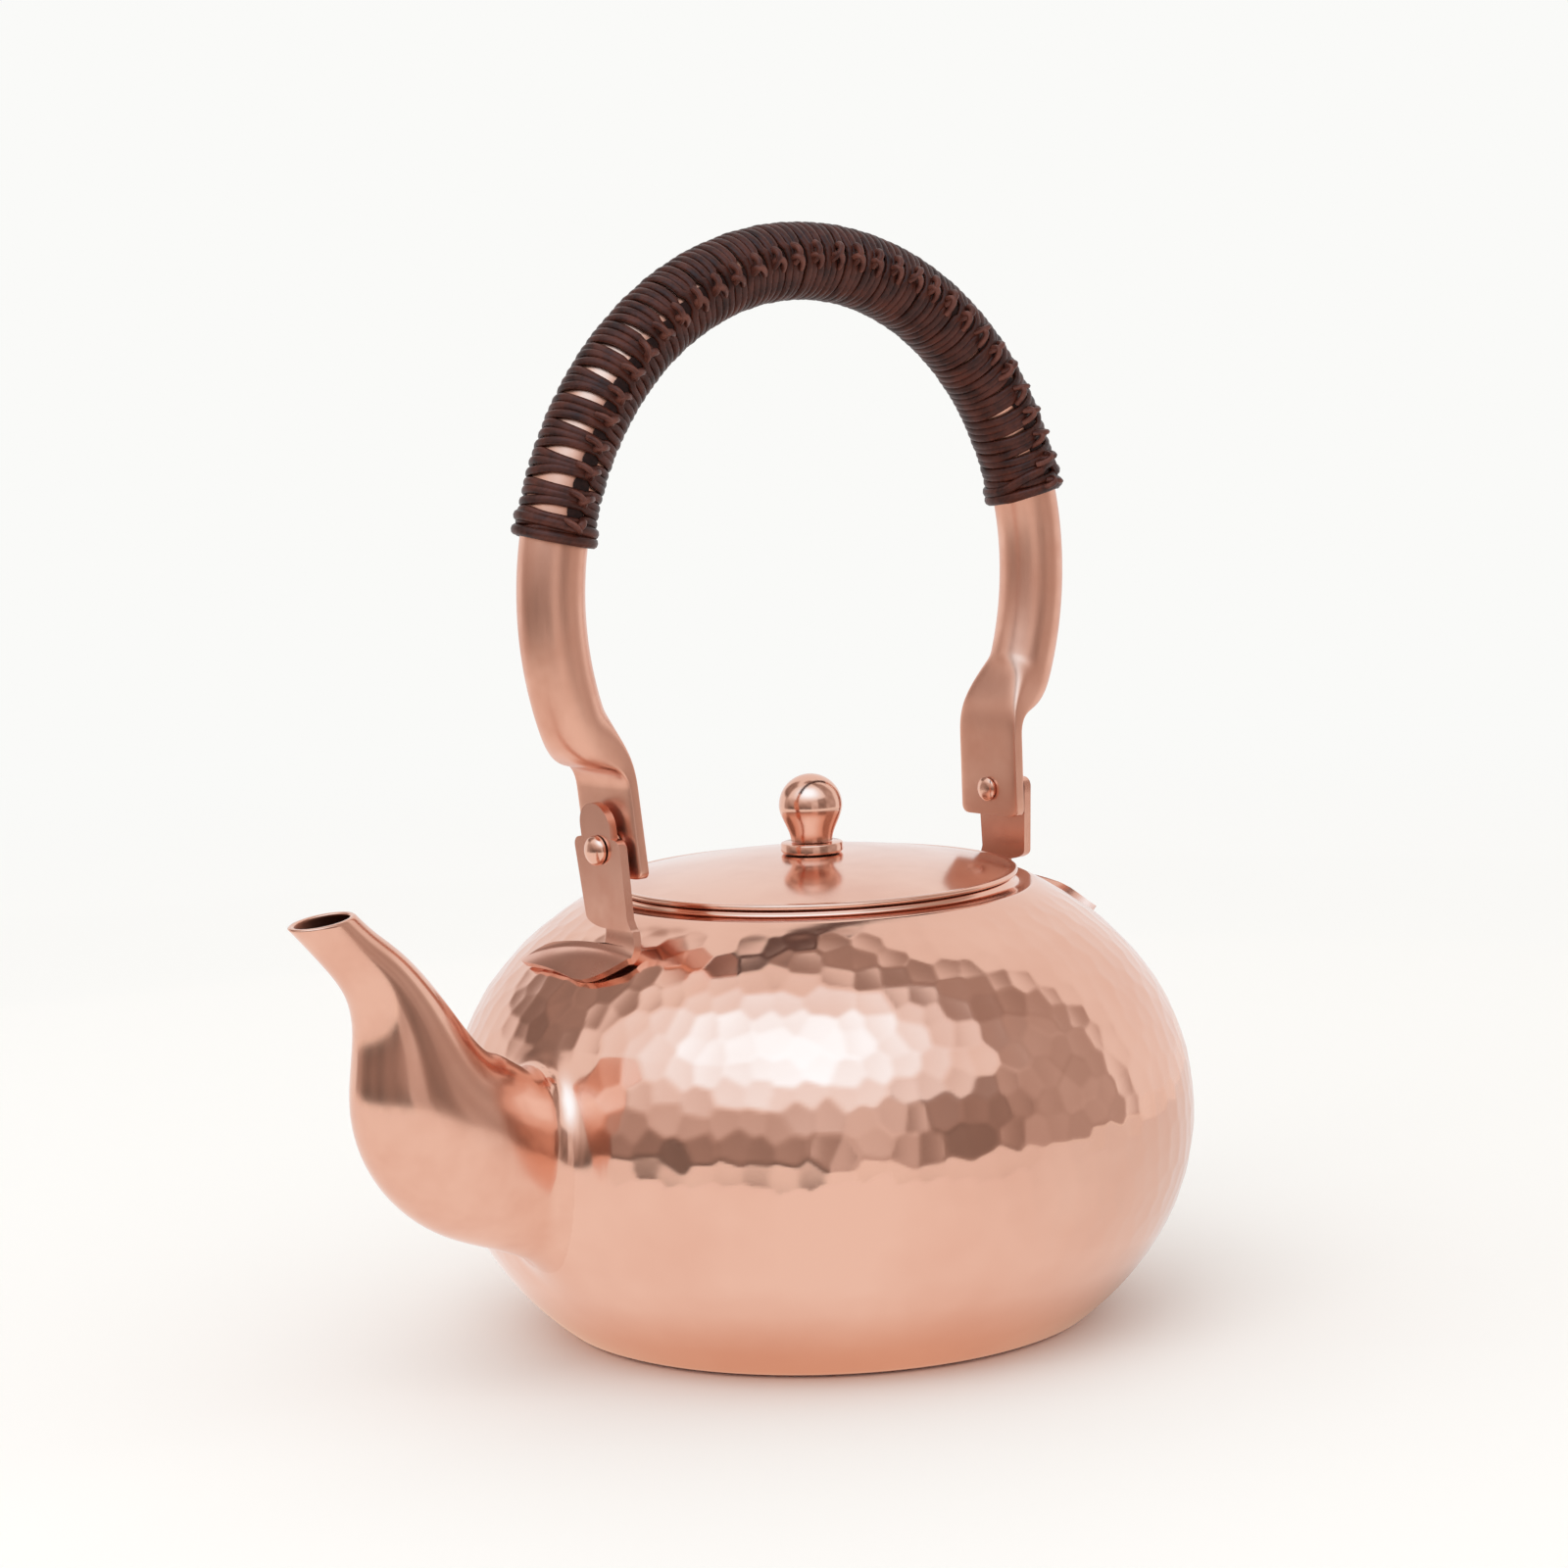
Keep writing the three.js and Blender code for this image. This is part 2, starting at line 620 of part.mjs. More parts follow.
// The lid: a low dome with a rolled rim, pierced for the knob's stem
function lidCap() {
  const hole = stemRadius + pinClearance;
  const shares = [0, 0.4, 0.75, 0.97];
  const reach = lidRadius - 2 * rimBead;
  const top = shares.map((share) => lerp(hole, reach, share));
  const profile = [
    ...top.map((radius) => new THREE.Vector2(radius, lidHeightAt(radius))),
    ...arc(lidRadius - rimBead, lidRimZ, rimBead, 120, -150, 4),
    ...top.reverse().map((radius) => new THREE.Vector2(radius, lidHeightAt(radius) - lidWall)),
  ];
  return revolve([...profile, profile[0].clone()], roundSteps);
}

// The ring under the lid that drops into the mouth
function lidFlange() {
  const outer = mouthRadius - lidClearance;
  const inner = outer - flangeWall;
  const top = lidHeightAt(outer) - lidWall - seamGap;
  const bottom = seatZ - flangeDepth;
  const profile = [
    new THREE.Vector2(inner, bottom),
    new THREE.Vector2(outer, bottom),
    new THREE.Vector2(outer, top),
    new THREE.Vector2(inner, top),
    new THREE.Vector2(inner, bottom),
  ];
  return revolve(profile, roundSteps);
}

// The turned collar between knob and lid
function knobCollar() {
  const hole = stemRadius + pinClearance;
  const low = lidTopZ + seamGap;
  const high = low + collarThickness;
  const ease = collarThickness / 4;
  const profile = [
    new THREE.Vector2(hole, low),
    new THREE.Vector2(collarRadius - ease, low),
    new THREE.Vector2(collarRadius, low + ease),
    new THREE.Vector2(collarRadius, high - ease),
    new THREE.Vector2(collarRadius - ease, high),
    new THREE.Vector2(hole, high),
    new THREE.Vector2(hole, low),
  ];
  return revolve(profile, knobSteps);
}

// The pear-shaped knob with its stem, peened over below the lid
function lidKnob() {
  const seat = lidTopZ + 2 * seamGap + collarThickness;
  const burrLow = lidUnderZ - seamGap - burrThickness;
  const tailTop = burrLow - seamGap;
  const ballZ = seat + knobHeight - knobBallRadius;
  const profile = [
    new THREE.Vector2(0, tailTop - stemTail),
    new THREE.Vector2(stemTailRadius * 0.75, tailTop - stemTail),
    new THREE.Vector2(stemTailRadius, tailTop - stemTail * 0.5),
    new THREE.Vector2(stemTailRadius, tailTop),
    new THREE.Vector2(stemRadius, tailTop),
    new THREE.Vector2(stemRadius, seat),
    ...[0, 0.15, 0.3, 0.5, 0.7, 0.85].map((share) => new THREE.Vector2(
      lerp(knobFootRadius, knobBallRadius, THREE.MathUtils.smoothstep(share, 0, 1)), lerp(seat, ballZ, share),
    )),
    ...arc(0, ballZ, knobBallRadius, 0, 90, 5).slice(0, -1),
    new THREE.Vector2(0, seat + knobHeight),
  ];
  return revolve(profile, knobSteps);
}

// The burr that the stem is peened over, under the lid
function knobBurr() {
  const hole = stemRadius + pinClearance;
  const high = lidUnderZ - seamGap;
  const low = high - burrThickness;
  const profile = [
    new THREE.Vector2(hole, low),
    new THREE.Vector2(burrRadius, low),
    new THREE.Vector2(burrRadius, high),
    new THREE.Vector2(hole, high),
    new THREE.Vector2(hole, low),
  ];
  return revolve(profile, knobSteps);
}

function piece(name, geometry, material, turn = 0) {
  const mesh = new THREE.Mesh(geometry, material);
  mesh.name = name;
  mesh.rotation.z = turn;
  return mesh;
}

const kettle = new THREE.Group();
kettle.add(
  piece('body_shell', bodyShell(), hammeredCopper),
  piece('spout', spout(), polishedCopper),
);
[['front', 0, frontLean], ['rear', Math.PI, 0]].forEach(([side, turn, lean]) => kettle.add(
  piece(`${side}_ear`, ear(lean), satinCopper, turn),
  piece(`${side}_rivet`, rivet(), polishedCopper, turn),
  piece(`${side}_pivot_washer`, pivotWasher(), satinCopper, turn),
));

const handle = new THREE.Group();
handle.add(
  piece('handle_tube', handleTube(), satinCopper),
  piece('grip_wrap', gripWrap(), waxedCord),
);

const lid = new THREE.Group();
lid.add(
  piece('lid_cap', lidCap(), polishedCopper),
  piece('lid_flange', lidFlange(), polishedCopper),
  piece('knob_collar', knobCollar(), polishedCopper),
  piece('lid_knob', lidKnob(), polishedCopper),
  piece('knob_burr', knobBurr(), satinCopper),
);

const model = new THREE.Group();
model.add(kettle, handle, lid);

export default model;
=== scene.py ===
import math

import bmesh
import bpy
import numpy as np
from mathutils import Matrix, Vector


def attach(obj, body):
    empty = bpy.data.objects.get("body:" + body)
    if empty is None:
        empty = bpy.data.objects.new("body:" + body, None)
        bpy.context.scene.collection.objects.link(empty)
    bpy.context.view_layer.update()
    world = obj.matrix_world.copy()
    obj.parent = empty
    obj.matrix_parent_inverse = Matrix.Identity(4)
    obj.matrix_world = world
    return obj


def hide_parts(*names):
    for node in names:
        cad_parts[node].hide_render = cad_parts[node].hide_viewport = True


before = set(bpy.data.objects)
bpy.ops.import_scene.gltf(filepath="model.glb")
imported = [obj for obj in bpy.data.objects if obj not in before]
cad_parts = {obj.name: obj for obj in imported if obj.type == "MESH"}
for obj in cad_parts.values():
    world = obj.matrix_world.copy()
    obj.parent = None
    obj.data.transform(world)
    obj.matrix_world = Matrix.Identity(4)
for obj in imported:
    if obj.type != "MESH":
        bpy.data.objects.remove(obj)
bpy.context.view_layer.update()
mm = 0.001
otherSide = np.array([-1, -1, 1])  # half a turn about the kettle's upright axis
print("frame loaded:", len(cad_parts), "nodes")


def hexToLinear(code):
    parts = [int(code[i:i + 2], 16) / 255 for i in (1, 3, 5)]
    return [c / 12.92 if c <= 0.04045 else ((c + 0.055) / 1.055) ** 2.4 for c in parts] + [1.0]


# An input may be a value, a socket, or a node, which stands for its first output
def addNode(tree, kind, inputs=None, **settings):
    node = tree.nodes.new(kind)
    for key, value in settings.items():
        setattr(node, key, value)
    for key, value in (inputs or {}).items():
        if isinstance(value, bpy.types.Node):
            value = value.outputs[0]
        if isinstance(value, bpy.types.NodeSocket):
            tree.links.new(value, node.inputs[key])
        else:
            node.inputs[key].default_value = value
    return node


def startMaterial(name):
    material = bpy.data.materials.new(name)
    material.use_nodes = True
    tree = material.node_tree
    tree.nodes.clear()
    return material, tree


# Limits of a Map Range node, by its inputs' names
def span(low, high, start=0.0, stop=1.0):
    return {"From Min": low, "From Max": high, "To Min": start, "To Max": stop}


def smoothstep(low, high, value):
    share = np.clip((value - low) / (high - low), 0, 1)
    return share * share * (3 - 2 * share)


# Wear on all the copper: cloud levels of tarnish and bare metal, wear levels from dull to bright, and
# the shares of the roughness that they have
copperWear = dict(stops=(0.3, 0.62), worn=(0.3, 0.7), rough=(1.25, 0.85), lineDepthMm=0.02)


# Copper, spun or raised from sheet and buffed: a warm pink mirror, a little clouded, with buffing lines and
# faint browner patches where it has begun to tarnish. Real lines are too fine to show, so these are coarser
def makeCopper(name, look):
    material, tree = startMaterial(name)
    place = addNode(tree, "ShaderNodeTexCoord").outputs["Object"]
    stretched = addNode(tree, "ShaderNodeMapping", {"Vector": place, "Scale": look["lineStretch"]})
    clouds = addNode(tree, "ShaderNodeTexNoise", {
        "Vector": place, "Scale": 1 / (look["cloudMm"] * mm), "Detail": 3.0, "Roughness": 0.6})
    lines = addNode(tree, "ShaderNodeTexNoise", {
        "Vector": stretched, "Scale": 1 / (look["lineMm"] * mm), "Detail": 2.0})
    colour = addNode(tree, "ShaderNodeValToRGB", {"Fac": clouds})
    codes = (look["tarnish"], look["metal"])
    for stop, level, code in zip(colour.color_ramp.elements, copperWear["stops"], codes):
        stop.position, stop.color = level, hexToLinear(code)
    worn = addNode(tree, "ShaderNodeMath", {0: lines, 1: look["streak"], 2: clouds}, operation="MULTIPLY_ADD")
    low, high = (level + look["streak"] * 0.5 for level in copperWear["worn"])
    dull, bright = (look["rough"] * share for share in copperWear["rough"])
    blur = addNode(tree, "ShaderNodeMapRange", {"Value": worn, **span(low, high, dull, bright)})
    if "rubbedFrom" in look:
        rubbed = addNode(tree, "ShaderNodeAttribute", attribute_name="rubbed").outputs["Fac"]
        blur = addNode(tree, "ShaderNodeMapRange", {
            "Value": rubbed, "To Min": look["rubbedFrom"], "To Max": blur})
    bump = addNode(tree, "ShaderNodeBump", {
        "Strength": look["lineBump"], "Distance": copperWear["lineDepthMm"] * mm, "Height": lines})
    shader = addNode(tree, "ShaderNodeBsdfPrincipled", {
        "Base Color": colour, "Metallic": 1.0, "Roughness": blur, "Normal": bump})
    addNode(tree, "ShaderNodeOutputMaterial", {"Surface": shader})
    return material


hammeredCopper = makeCopper("hammeredCopper", dict(
    metal="#efbda7", tarnish="#e9b39c", rough=0.14, cloudMm=38, lineMm=0.5, lineStretch=(1, 1, 4),
    lineBump=0.04, streak=0.2))
polishedCopper = makeCopper("polishedCopper", dict(
    metal="#efbda7", tarnish="#e8b19a", rough=0.15, cloudMm=24, lineMm=0.5, lineStretch=(1, 1, 1),
    lineBump=0.03, streak=0.2))
brushedCopper = makeCopper("brushedCopper", dict(  # the spout is rubbed, not buffed, so its reflections blur
    metal="#edb9a2", tarnish="#e5ac94", rough=0.175, cloudMm=18, lineMm=1.6, lineStretch=(1, 1, 0.06),
    lineBump=0.02, streak=0.4, rubbedFrom=0.14))
satinCopper = makeCopper("satinCopper", dict(  # cut and filed strap: long fine lines and a duller shine
    metal="#eab49e", tarnish="#dea18a", rough=0.22, cloudMm=14, lineMm=1.0, lineStretch=(2, 2, 0.08),
    lineBump=0.025, streak=0.3))
drawnCopper = makeCopper("drawnCopperTube", dict(  # drawn through a die: fine lines along it and a soft shine
    metal="#eab29a", tarnish="#dea188", rough=0.33, cloudMm=16, lineMm=1.0, lineStretch=(2, 2, 0.08),
    lineBump=0.02, streak=0.3))
darkCopper = makeCopper("scaledCopperInside", dict(  # inside walls are left as raised, dull and browner
    metal="#b87e66", tarnish="#8a5644", rough=0.42, cloudMm=12, lineMm=0.8, lineStretch=(1, 1, 1),
    lineBump=0.2, streak=0.3))

# Plait of all the cord: strands along one turn, their share of the relief, and the relief's share of the
# tone: painted shade in the grooves and painted highlight on the strand tops
plait = dict(strands=260.0, depth=0.4, tone=0.1, stops=(0.28, 0.72), reliefMm=0.1)


# Flat braided cord, waxed: dark reddish brown, a soft shine on the strands and fine ribs along its length.
# Its colour follows the relief: painted shade in the grooves, painted highlight on the strand tops
def makeCord(name, look):
    material, tree = startMaterial(name)
    side = addNode(tree, "ShaderNodeAttribute", attribute_name="side").outputs["Fac"]
    turn = addNode(tree, "ShaderNodeAttribute", attribute_name="turn").outputs["Fac"]
    place = addNode(tree, "ShaderNodeTexCoord").outputs["Object"]
    flecks = addNode(tree, "ShaderNodeTexNoise", {
        "Vector": place, "Scale": 1 / (look["fleckMm"] * mm), "Detail": 3.0})
    phase = addNode(tree, "ShaderNodeMath", {0: side, 1: 2 * math.pi * look["ribs"]}, operation="MULTIPLY")
    ribs = addNode(tree, "ShaderNodeMath", {0: phase}, operation="SINE")
    twist = addNode(tree, "ShaderNodeMath", {
        0: turn, 1: plait["strands"], 2: phase}, operation="MULTIPLY_ADD")
    strands = addNode(tree, "ShaderNodeMath", {0: twist}, operation="SINE")
    relief = addNode(tree, "ShaderNodeMath", {
        0: strands, 1: plait["depth"], 2: ribs}, operation="MULTIPLY_ADD")
    # Tone follows the relief: painted shade in the grooves, painted highlight on the tops
    tone = addNode(tree, "ShaderNodeMath", {0: relief, 1: plait["tone"], 2: flecks}, operation="MULTIPLY_ADD")
    colour = addNode(tree, "ShaderNodeValToRGB", {"Fac": tone})
    for stop, level, code in zip(colour.color_ramp.elements, plait["stops"], (look["deep"], look["wax"])):
        stop.position, stop.color = level, hexToLinear(code)
    bump = addNode(tree, "ShaderNodeBump", {
        "Strength": look["ribBump"], "Distance": plait["reliefMm"] * mm, "Height": relief})
    shader = addNode(tree, "ShaderNodeBsdfPrincipled", {
        "Base Color": colour, "Roughness": look["rough"], "Specular IOR Level": look["shine"],
        "Normal": bump})
    addNode(tree, "ShaderNodeOutputMaterial", {"Surface": shader})
    return material


waxedCord = makeCord("waxedFlatCord", dict(
    wax="#55281c", deep="#270d08", ribs=3, rough=0.4, shine=0.28, ribBump=0.15, fleckMm=4.0))
litCord = makeCord("waxedCordHitch", dict(  # hitches stand proud; their cord is painted lighter, a painted highlight where they catch the light
    wax="#704034", deep="#3d1a13", ribs=2, rough=0.42, shine=0.28, ribBump=0.12, fleckMm=3.0))
shadedCord = makeCord("shadedCordBelow", dict(  # strand below the hitches, painted near black as painted shade in the holes between them
    wax="#2e1611", deep="#1d0c09", ribs=4, rough=0.7, shine=0.2, ribBump=0.3, fleckMm=1.1))
print("materials made")


def addObject(name, data):
    thing = bpy.data.objects.new(name, data)
    bpy.context.scene.collection.objects.link(thing)
    return thing


# A mesh from rings of points in millimetres, each ring closed, the run of rings open or closed. Rings from
# inner[0] to inner[1] take the second finish
def ringPiece(name, rings, finishes, closedRun=False, sharp=40, keep=None, inner=(0, 0), caps=False):
    rings = np.asarray(rings, float)
    count, around = rings.shape[:2]
    ids = np.arange(count * around).reshape(count, around)
    nextRing = np.roll(ids, -1, axis=0)
    rows = count if closedRun else count - 1
    quads = np.stack([ids, np.roll(ids, -1, axis=1), np.roll(nextRing, -1, axis=1), nextRing], axis=-1)
    quads = quads[:rows].reshape(-1, 4)
    slots = np.zeros(rows, int)
    slots[inner[0]:inner[1]] = 1
    slots = np.repeat(slots, around)
    if keep is not None:
        stay = keep[quads].all(axis=1)
        quads, slots = quads[stay], slots[stay]
    faces, slots = quads.tolist(), slots.tolist()
    if caps:
        faces += [ids[0].tolist(), ids[-1].tolist()[::-1]]
        slots += [0, 0]
    mesh = bpy.data.meshes.new(name)
    mesh.from_pydata((rings.reshape(-1, 3) * mm).tolist(), [], faces)
    for finish in finishes:
        mesh.materials.append(finish)
    mesh.polygons.foreach_set("material_index", slots)
    work = bmesh.new()
    work.from_mesh(mesh)
    bmesh.ops.remove_doubles(work, verts=work.verts, dist=1e-6)
    bmesh.ops.delete(work, geom=[v for v in work.verts if not v.link_faces], context="VERTS")
    bmesh.ops.recalc_face_normals(work, faces=work.faces)
    work.to_mesh(mesh)
    work.free()
    mesh.shade_smooth()
    mesh.set_sharp_from_angle(angle=math.radians(sharp))
    return addObject(name, mesh)


# Rings of a profile of (radius, height) turned round the upright axis
def turned(profile, steps):
    profile = np.asarray(profile, float)
    angle = 2 * np.pi * np.arange(steps) / steps
    return np.stack([profile[:, :1] * np.cos(angle), profile[:, :1] * np.sin(angle),
                     np.repeat(profile[:, 1:2], steps, axis=1)], axis=-1)


def arcPoints(centre, radius, start, stop, count):
    angle = np.radians(np.linspace(start, stop, count))
    return np.stack([centre[0] + radius * np.cos(angle), centre[1] + radius * np.sin(angle)], axis=-1)


# Length along a run of points, at each of them
def runLength(across, up):
    return np.concatenate([[0], np.cumsum(np.hypot(np.diff(across), np.diff(up)))])


def resample(rows, run, places):
    return np.stack([np.interp(places, run, column) for column in rows.T], axis=-1)


def meshPoints(piece):
    points = np.empty(len(piece.data.vertices) * 3, np.float32)
    piece.data.vertices.foreach_get("co", points)
    return points.reshape(-1, 3).astype(float) / mm


def holdValue(piece, name, values):
    held = piece.data.attributes.new(name, "FLOAT", "POINT")
    held.data.foreach_set("value", values.astype(np.float32))


def seat(piece, carrier, slot, *nodes):
    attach(piece, carrier)
    if nodes:
        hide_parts(*nodes)


# Body: sizes in millimetres, as in the solids
body = dict(radius=82.5, height=45.5, crown=61.3, crownPower=2.108, bowl=62.2, bowlPower=2.052, wall=1.2,
            mouth=43.2, neck=1.6, seatRadius=49.0, portRadius=11.5, portRise=2.7, portTrim=0.6, split=14.0,
            blend=6.0, overlap=1.5, bury=0.5, joinSteps=14, joinEase=0.8, around=620, rows=146, bowlRows=22,
            insideAround=200, insideRows=30, sharp=38)
hammer = dict(width=6.0, pitch=5.3, hollow=0.0115, depth=0.13, tilt=0.026, mostTilt=1.5, spareTilt=2.2,
              reach=6.5, jitter=0.45, seed=11, turns=(-0.75, 1.35), topRadius=53.5, topFade=(-3, 1),
              belowTop=80, lowest=20.0, lowFade=(-6, 14), spoutFade=(2.0, 11.0), sharp=50)


def crownHeight(radius):
    share = np.clip(np.asarray(radius, float) / body["radius"], 0, 1)
    return body["height"] + body["crown"] * (1 - share ** body["crownPower"]) ** (1 / body["crownPower"])


seatZ = float(crownHeight(body["seatRadius"]))


# Radius and height on the belly's outside, by its turn from the widest ring
def bellyPoint(turn):
    turn = np.asarray(turn, float)
    up = turn > 0
    power = np.where(up, body["crownPower"], body["bowlPower"])
    depth = np.where(up, body["crown"], body["bowl"])
    radius = body["radius"] * np.cos(np.abs(turn)) ** (2 / power)
    return radius, body["height"] + np.sign(turn) * depth * np.sin(np.abs(turn)) ** (2 / power)


def turnAt(z):
    rise = z - body["height"]
    depth, power = (body["crown"], body["crownPower"]) if rise > 0 else (body["bowl"], body["bowlPower"])
    return math.copysign(math.asin((abs(rise) / depth) ** (power / 2)), rise)


# Belly's outside from one turn to another, in rows of even length
def bellyRun(low, high, count):
    grid = np.linspace(low, high, 3000)
    run = runLength(*bellyPoint(grid))
    return np.stack(bellyPoint(np.interp(np.linspace(0, run[-1], count), run, grid)), axis=-1)


def awayFromBelly(points):
    radius = np.hypot(points[:, 0], points[:, 1])
    rise = points[:, 2] - body["height"]
    depth = np.where(rise > 0, body["crown"], body["bowl"])
    power = np.where(rise > 0, body["crownPower"], body["bowlPower"])
    level = (radius / body["radius"]) ** power + (np.abs(rise) / depth) ** power
    far = np.hypot(radius, rise)
    return far * (1 - np.maximum(level, 1e-9) ** (-1 / power))


# Spout: stations outward and upward from the belly's widest ring, with half depth and half width
spout = dict(stations=[(-12.4, -3, 19.5, 14.4), (1.8, 2.7, 18.8, 14), (17, 9.7, 19.6, 15),
                       (25.6, 19, 18, 14.2), (29.7, 32, 12.4, 11.2), (32.3, 40, 9.4, 9),
                       (37.3, 48.3, 7.1, 7.1), (43.5, 54.4, 6, 6), (49.4, 60.4, 5.9, 5.9)],
             soften=4.5, begins=-50, wall=1.1, lipTilt=7.0, lipBegins=0.79, lipRound=0.25,
             lipEdge=0.35, lipShares=(0.8, 0.75), around=128, along=160, rubbedFar=16.0, sharp=50)


# The spout's middle line, its direction, half depth and half width, through the stations and evened out
def throughStations(count):
    stations = np.array(spout["stations"], float)
    p = np.vstack([2 * stations[0] - stations[1], stations, 2 * stations[-1] - stations[-2]])
    rows = []
    spans = len(stations) - 1
    for t in np.linspace(0, spans, 600):
        i = min(int(t), spans - 1)
        a, b, c, d = p[i:i + 4]
        k1 = math.sqrt(math.dist(a[:2], b[:2]))
        k2 = k1 + math.sqrt(math.dist(b[:2], c[:2]))
        k3 = k2 + math.sqrt(math.dist(c[:2], d[:2]))
        k = k1 + (t - i) * (k2 - k1)

        def between(near, far, low, high):
            return (high - k) / (high - low) * near + (k - low) / (high - low) * far

        ab, bc, cd = between(a, b, 0.0, k1), between(b, c, k1, k2), between(c, d, k2, k3)
        rows.append(between(between(ab, bc, 0.0, k2), between(bc, cd, k1, k3), k1, k2))
    rows = np.array(rows)
    run = runLength(rows[:, 0], rows[:, 1])
    even = np.linspace(0, run[-1], 400)
    rows = resample(rows, run, even)
    reach = round(4 * spout["soften"] / even[1])
    weights = np.exp(-0.5 * (np.arange(-reach, reach + 1) * even[1] / spout["soften"]) ** 2)
    padded = np.concatenate([2 * rows[0] - rows[reach:0:-1], rows, 2 * rows[-1] - rows[-2:-reach - 2:-1]])
    rows = np.stack([np.convolve(column, weights / weights.sum(), "valid") for column in padded.T], axis=-1)
    rows = resample(rows, even, np.linspace(0, run[-1], count))
    middle = np.stack([-body["radius"] - rows[:, 0], np.zeros(count), body["height"] + rows[:, 1]], axis=-1)
    along = np.gradient(middle, axis=0)
    along /= np.linalg.norm(along, axis=1, keepdims=True)
    return middle, along, rows[:, 2], rows[:, 3]


spine = throughStations(240)


def awayFromSpout(points):
    middle, along, deep, wide = spine
    result = np.full(len(points), 1e3)
    near = np.flatnonzero(points[:, 0] < spout["begins"])  # further in, the spout is not there
    for part in np.array_split(near, max(1, len(near) // 4000)):
        gap = points[part, None, :] - middle[None, :, :]
        best = np.argmin((gap ** 2).sum(-1), axis=1)
        off = points[part] - middle[best]
        inPlane = off[:, 0] * -along[best, 2] + off[:, 2] * along[best, 0]
        reach = np.hypot(inPlane, off[:, 1])
        level = np.hypot(inPlane / deep[best], off[:, 1] / wide[best])
        result[part] = reach * (1 - 1 / np.maximum(level, 1e-6))
    return result


# Where belly and spout come close, both rise to one rounded surface
def awayFromJoin(points):
    a, b, size = awayFromBelly(points), awayFromSpout(points), body["blend"]
    share = np.maximum(size - np.abs(a - b), 0) / size
    return np.minimum(a, b) - share * share * size / 4


# Raises a skin to the join in small steps, and sinks it a little past the line where the other skin goes on
def meetAtJoin(points, normals, own, other):
    near = np.abs(other(points)) < body["blend"]
    lift = np.zeros(np.count_nonzero(near))
    for _ in range(body["joinSteps"]):
        moved = points[near] + normals[near] * lift[:, None]
        lift = np.clip(lift - body["joinEase"] * awayFromJoin(moved), 0, body["blend"] / 3)
    points[near] += normals[near] * lift[:, None]
    past = own(points) - other(points)
    points -= normals * (body["bury"] * smoothstep(0.0, body["overlap"], past))[:, None]


# Round the join both pieces take the rounded surface's own normals, so no line shows where they meet
def softenJoin(piece):
    points = meshPoints(piece)
    sides = np.stack([awayFromBelly(points), awayFromSpout(points)])
    near = (np.abs(sides) < body["blend"]).all(axis=0)
    near &= (sides.min(axis=0) > -2 * body["overlap"]) & (sides.max(axis=0) < body["blend"] - 0.5)
    normals = np.zeros((len(points), 3))
    for axis in np.eye(3) * 0.5:
        slope = awayFromJoin(points[near] + axis) - awayFromJoin(points[near] - axis)
        normals[near] += axis * slope[:, None]
    size = np.linalg.norm(normals, axis=1, keepdims=True)
    normals = np.where(size > 1e-6, normals / np.maximum(size, 1e-6), 0)
    piece.data.normals_split_custom_set_from_vertices(normals.tolist())


def bellyPiece(name, profile, around):
    rings = turned(profile, around)
    points = rings.reshape(-1, 3)
    normals = points - np.array([0, 0, body["height"]])
    normals /= np.linalg.norm(normals, axis=1, keepdims=True)
    keep = awayFromSpout(points) > -body["overlap"]
    meetAtJoin(points, normals, awayFromBelly, awayFromSpout)
    return ringPiece(name, points.reshape(rings.shape), [hammeredCopper], sharp=body["sharp"], keep=keep)


# The inside wall has a round port behind the spout
def insidePiece(name, profile):
    rings = turned(profile, body["insideAround"])
    points = rings.reshape(-1, 3)
    port = np.hypot(points[:, 1], points[:, 2] - body["height"] - body["portRise"])
    keep = (points[:, 0] > 0) | (port > body["portRadius"] - body["portTrim"])
    return ringPiece(name, rings, [darkCopper], sharp=body["sharp"], keep=keep)


def makeBody():
    lowest, highest = turnAt(0.0), turnAt(seatZ)
    foot = float(bellyPoint([lowest])[0][0])
    neck, mouth, wall = body["mouth"] + body["wall"], body["mouth"], body["wall"]
    mouthZ = seatZ + body["neck"]
    base = [(0, 0.35), (foot * 0.4, 0.35), (foot * 0.8, 0.35), (foot - 6, 0.3), (foot - 4.4, 0.05),
            (foot - 2.6, 0), (foot - 1.2, 0.12), (foot - 0.2, 0.5)]
    bowl = bellyRun(lowest + 0.03, turnAt(body["split"]), body["bowlRows"])
    belly = bellyRun(turnAt(body["split"]), highest, body["rows"])
    shoulder = [(body["seatRadius"] - 0.6, seatZ + 0.05), (neck + 2.6, seatZ + 0.02),
                (neck + 1.1, seatZ + 0.1), (neck + 0.35, seatZ + 0.4), (neck, seatZ + 0.85),
                (neck, mouthZ - 0.5), (neck - 0.35, mouthZ), (mouth + 0.3, mouthZ), (mouth, mouthZ - 0.3)]
    shrink = 1 - wall / body["radius"]
    inside = [(mouth, mouthZ - 0.3), (mouth, seatZ - wall)]
    inside += [(r * shrink, max(wall, body["height"] + (h - body["height"]) * shrink))
               for r, h in bellyRun(highest * 0.97, lowest * 0.98, body["insideRows"])]
    inside += [(foot * 0.7, wall), (0, wall)]
    upper = bellyPiece("hammeredBelly", list(belly) + shoulder, body["around"])
    lower = bellyPiece("bowlAndBase", base + list(bowl), body["around"] // 2)
    within = insidePiece("bellyInside", inside)
    points = meshPoints(upper)
    far = np.hypot(points[:, 0], points[:, 1]) + np.maximum(0, hammer["belowTop"] - points[:, 2])
    weight = smoothstep(*(hammer["topRadius"] + edge for edge in hammer["topFade"]), far)
    weight *= smoothstep(*(hammer["lowest"] + edge for edge in hammer["lowFade"]), points[:, 2])
    weight *= smoothstep(*hammer["spoutFade"], awayFromSpout(points))
    holdValue(upper, "hammered", weight)
    return upper, lower, within


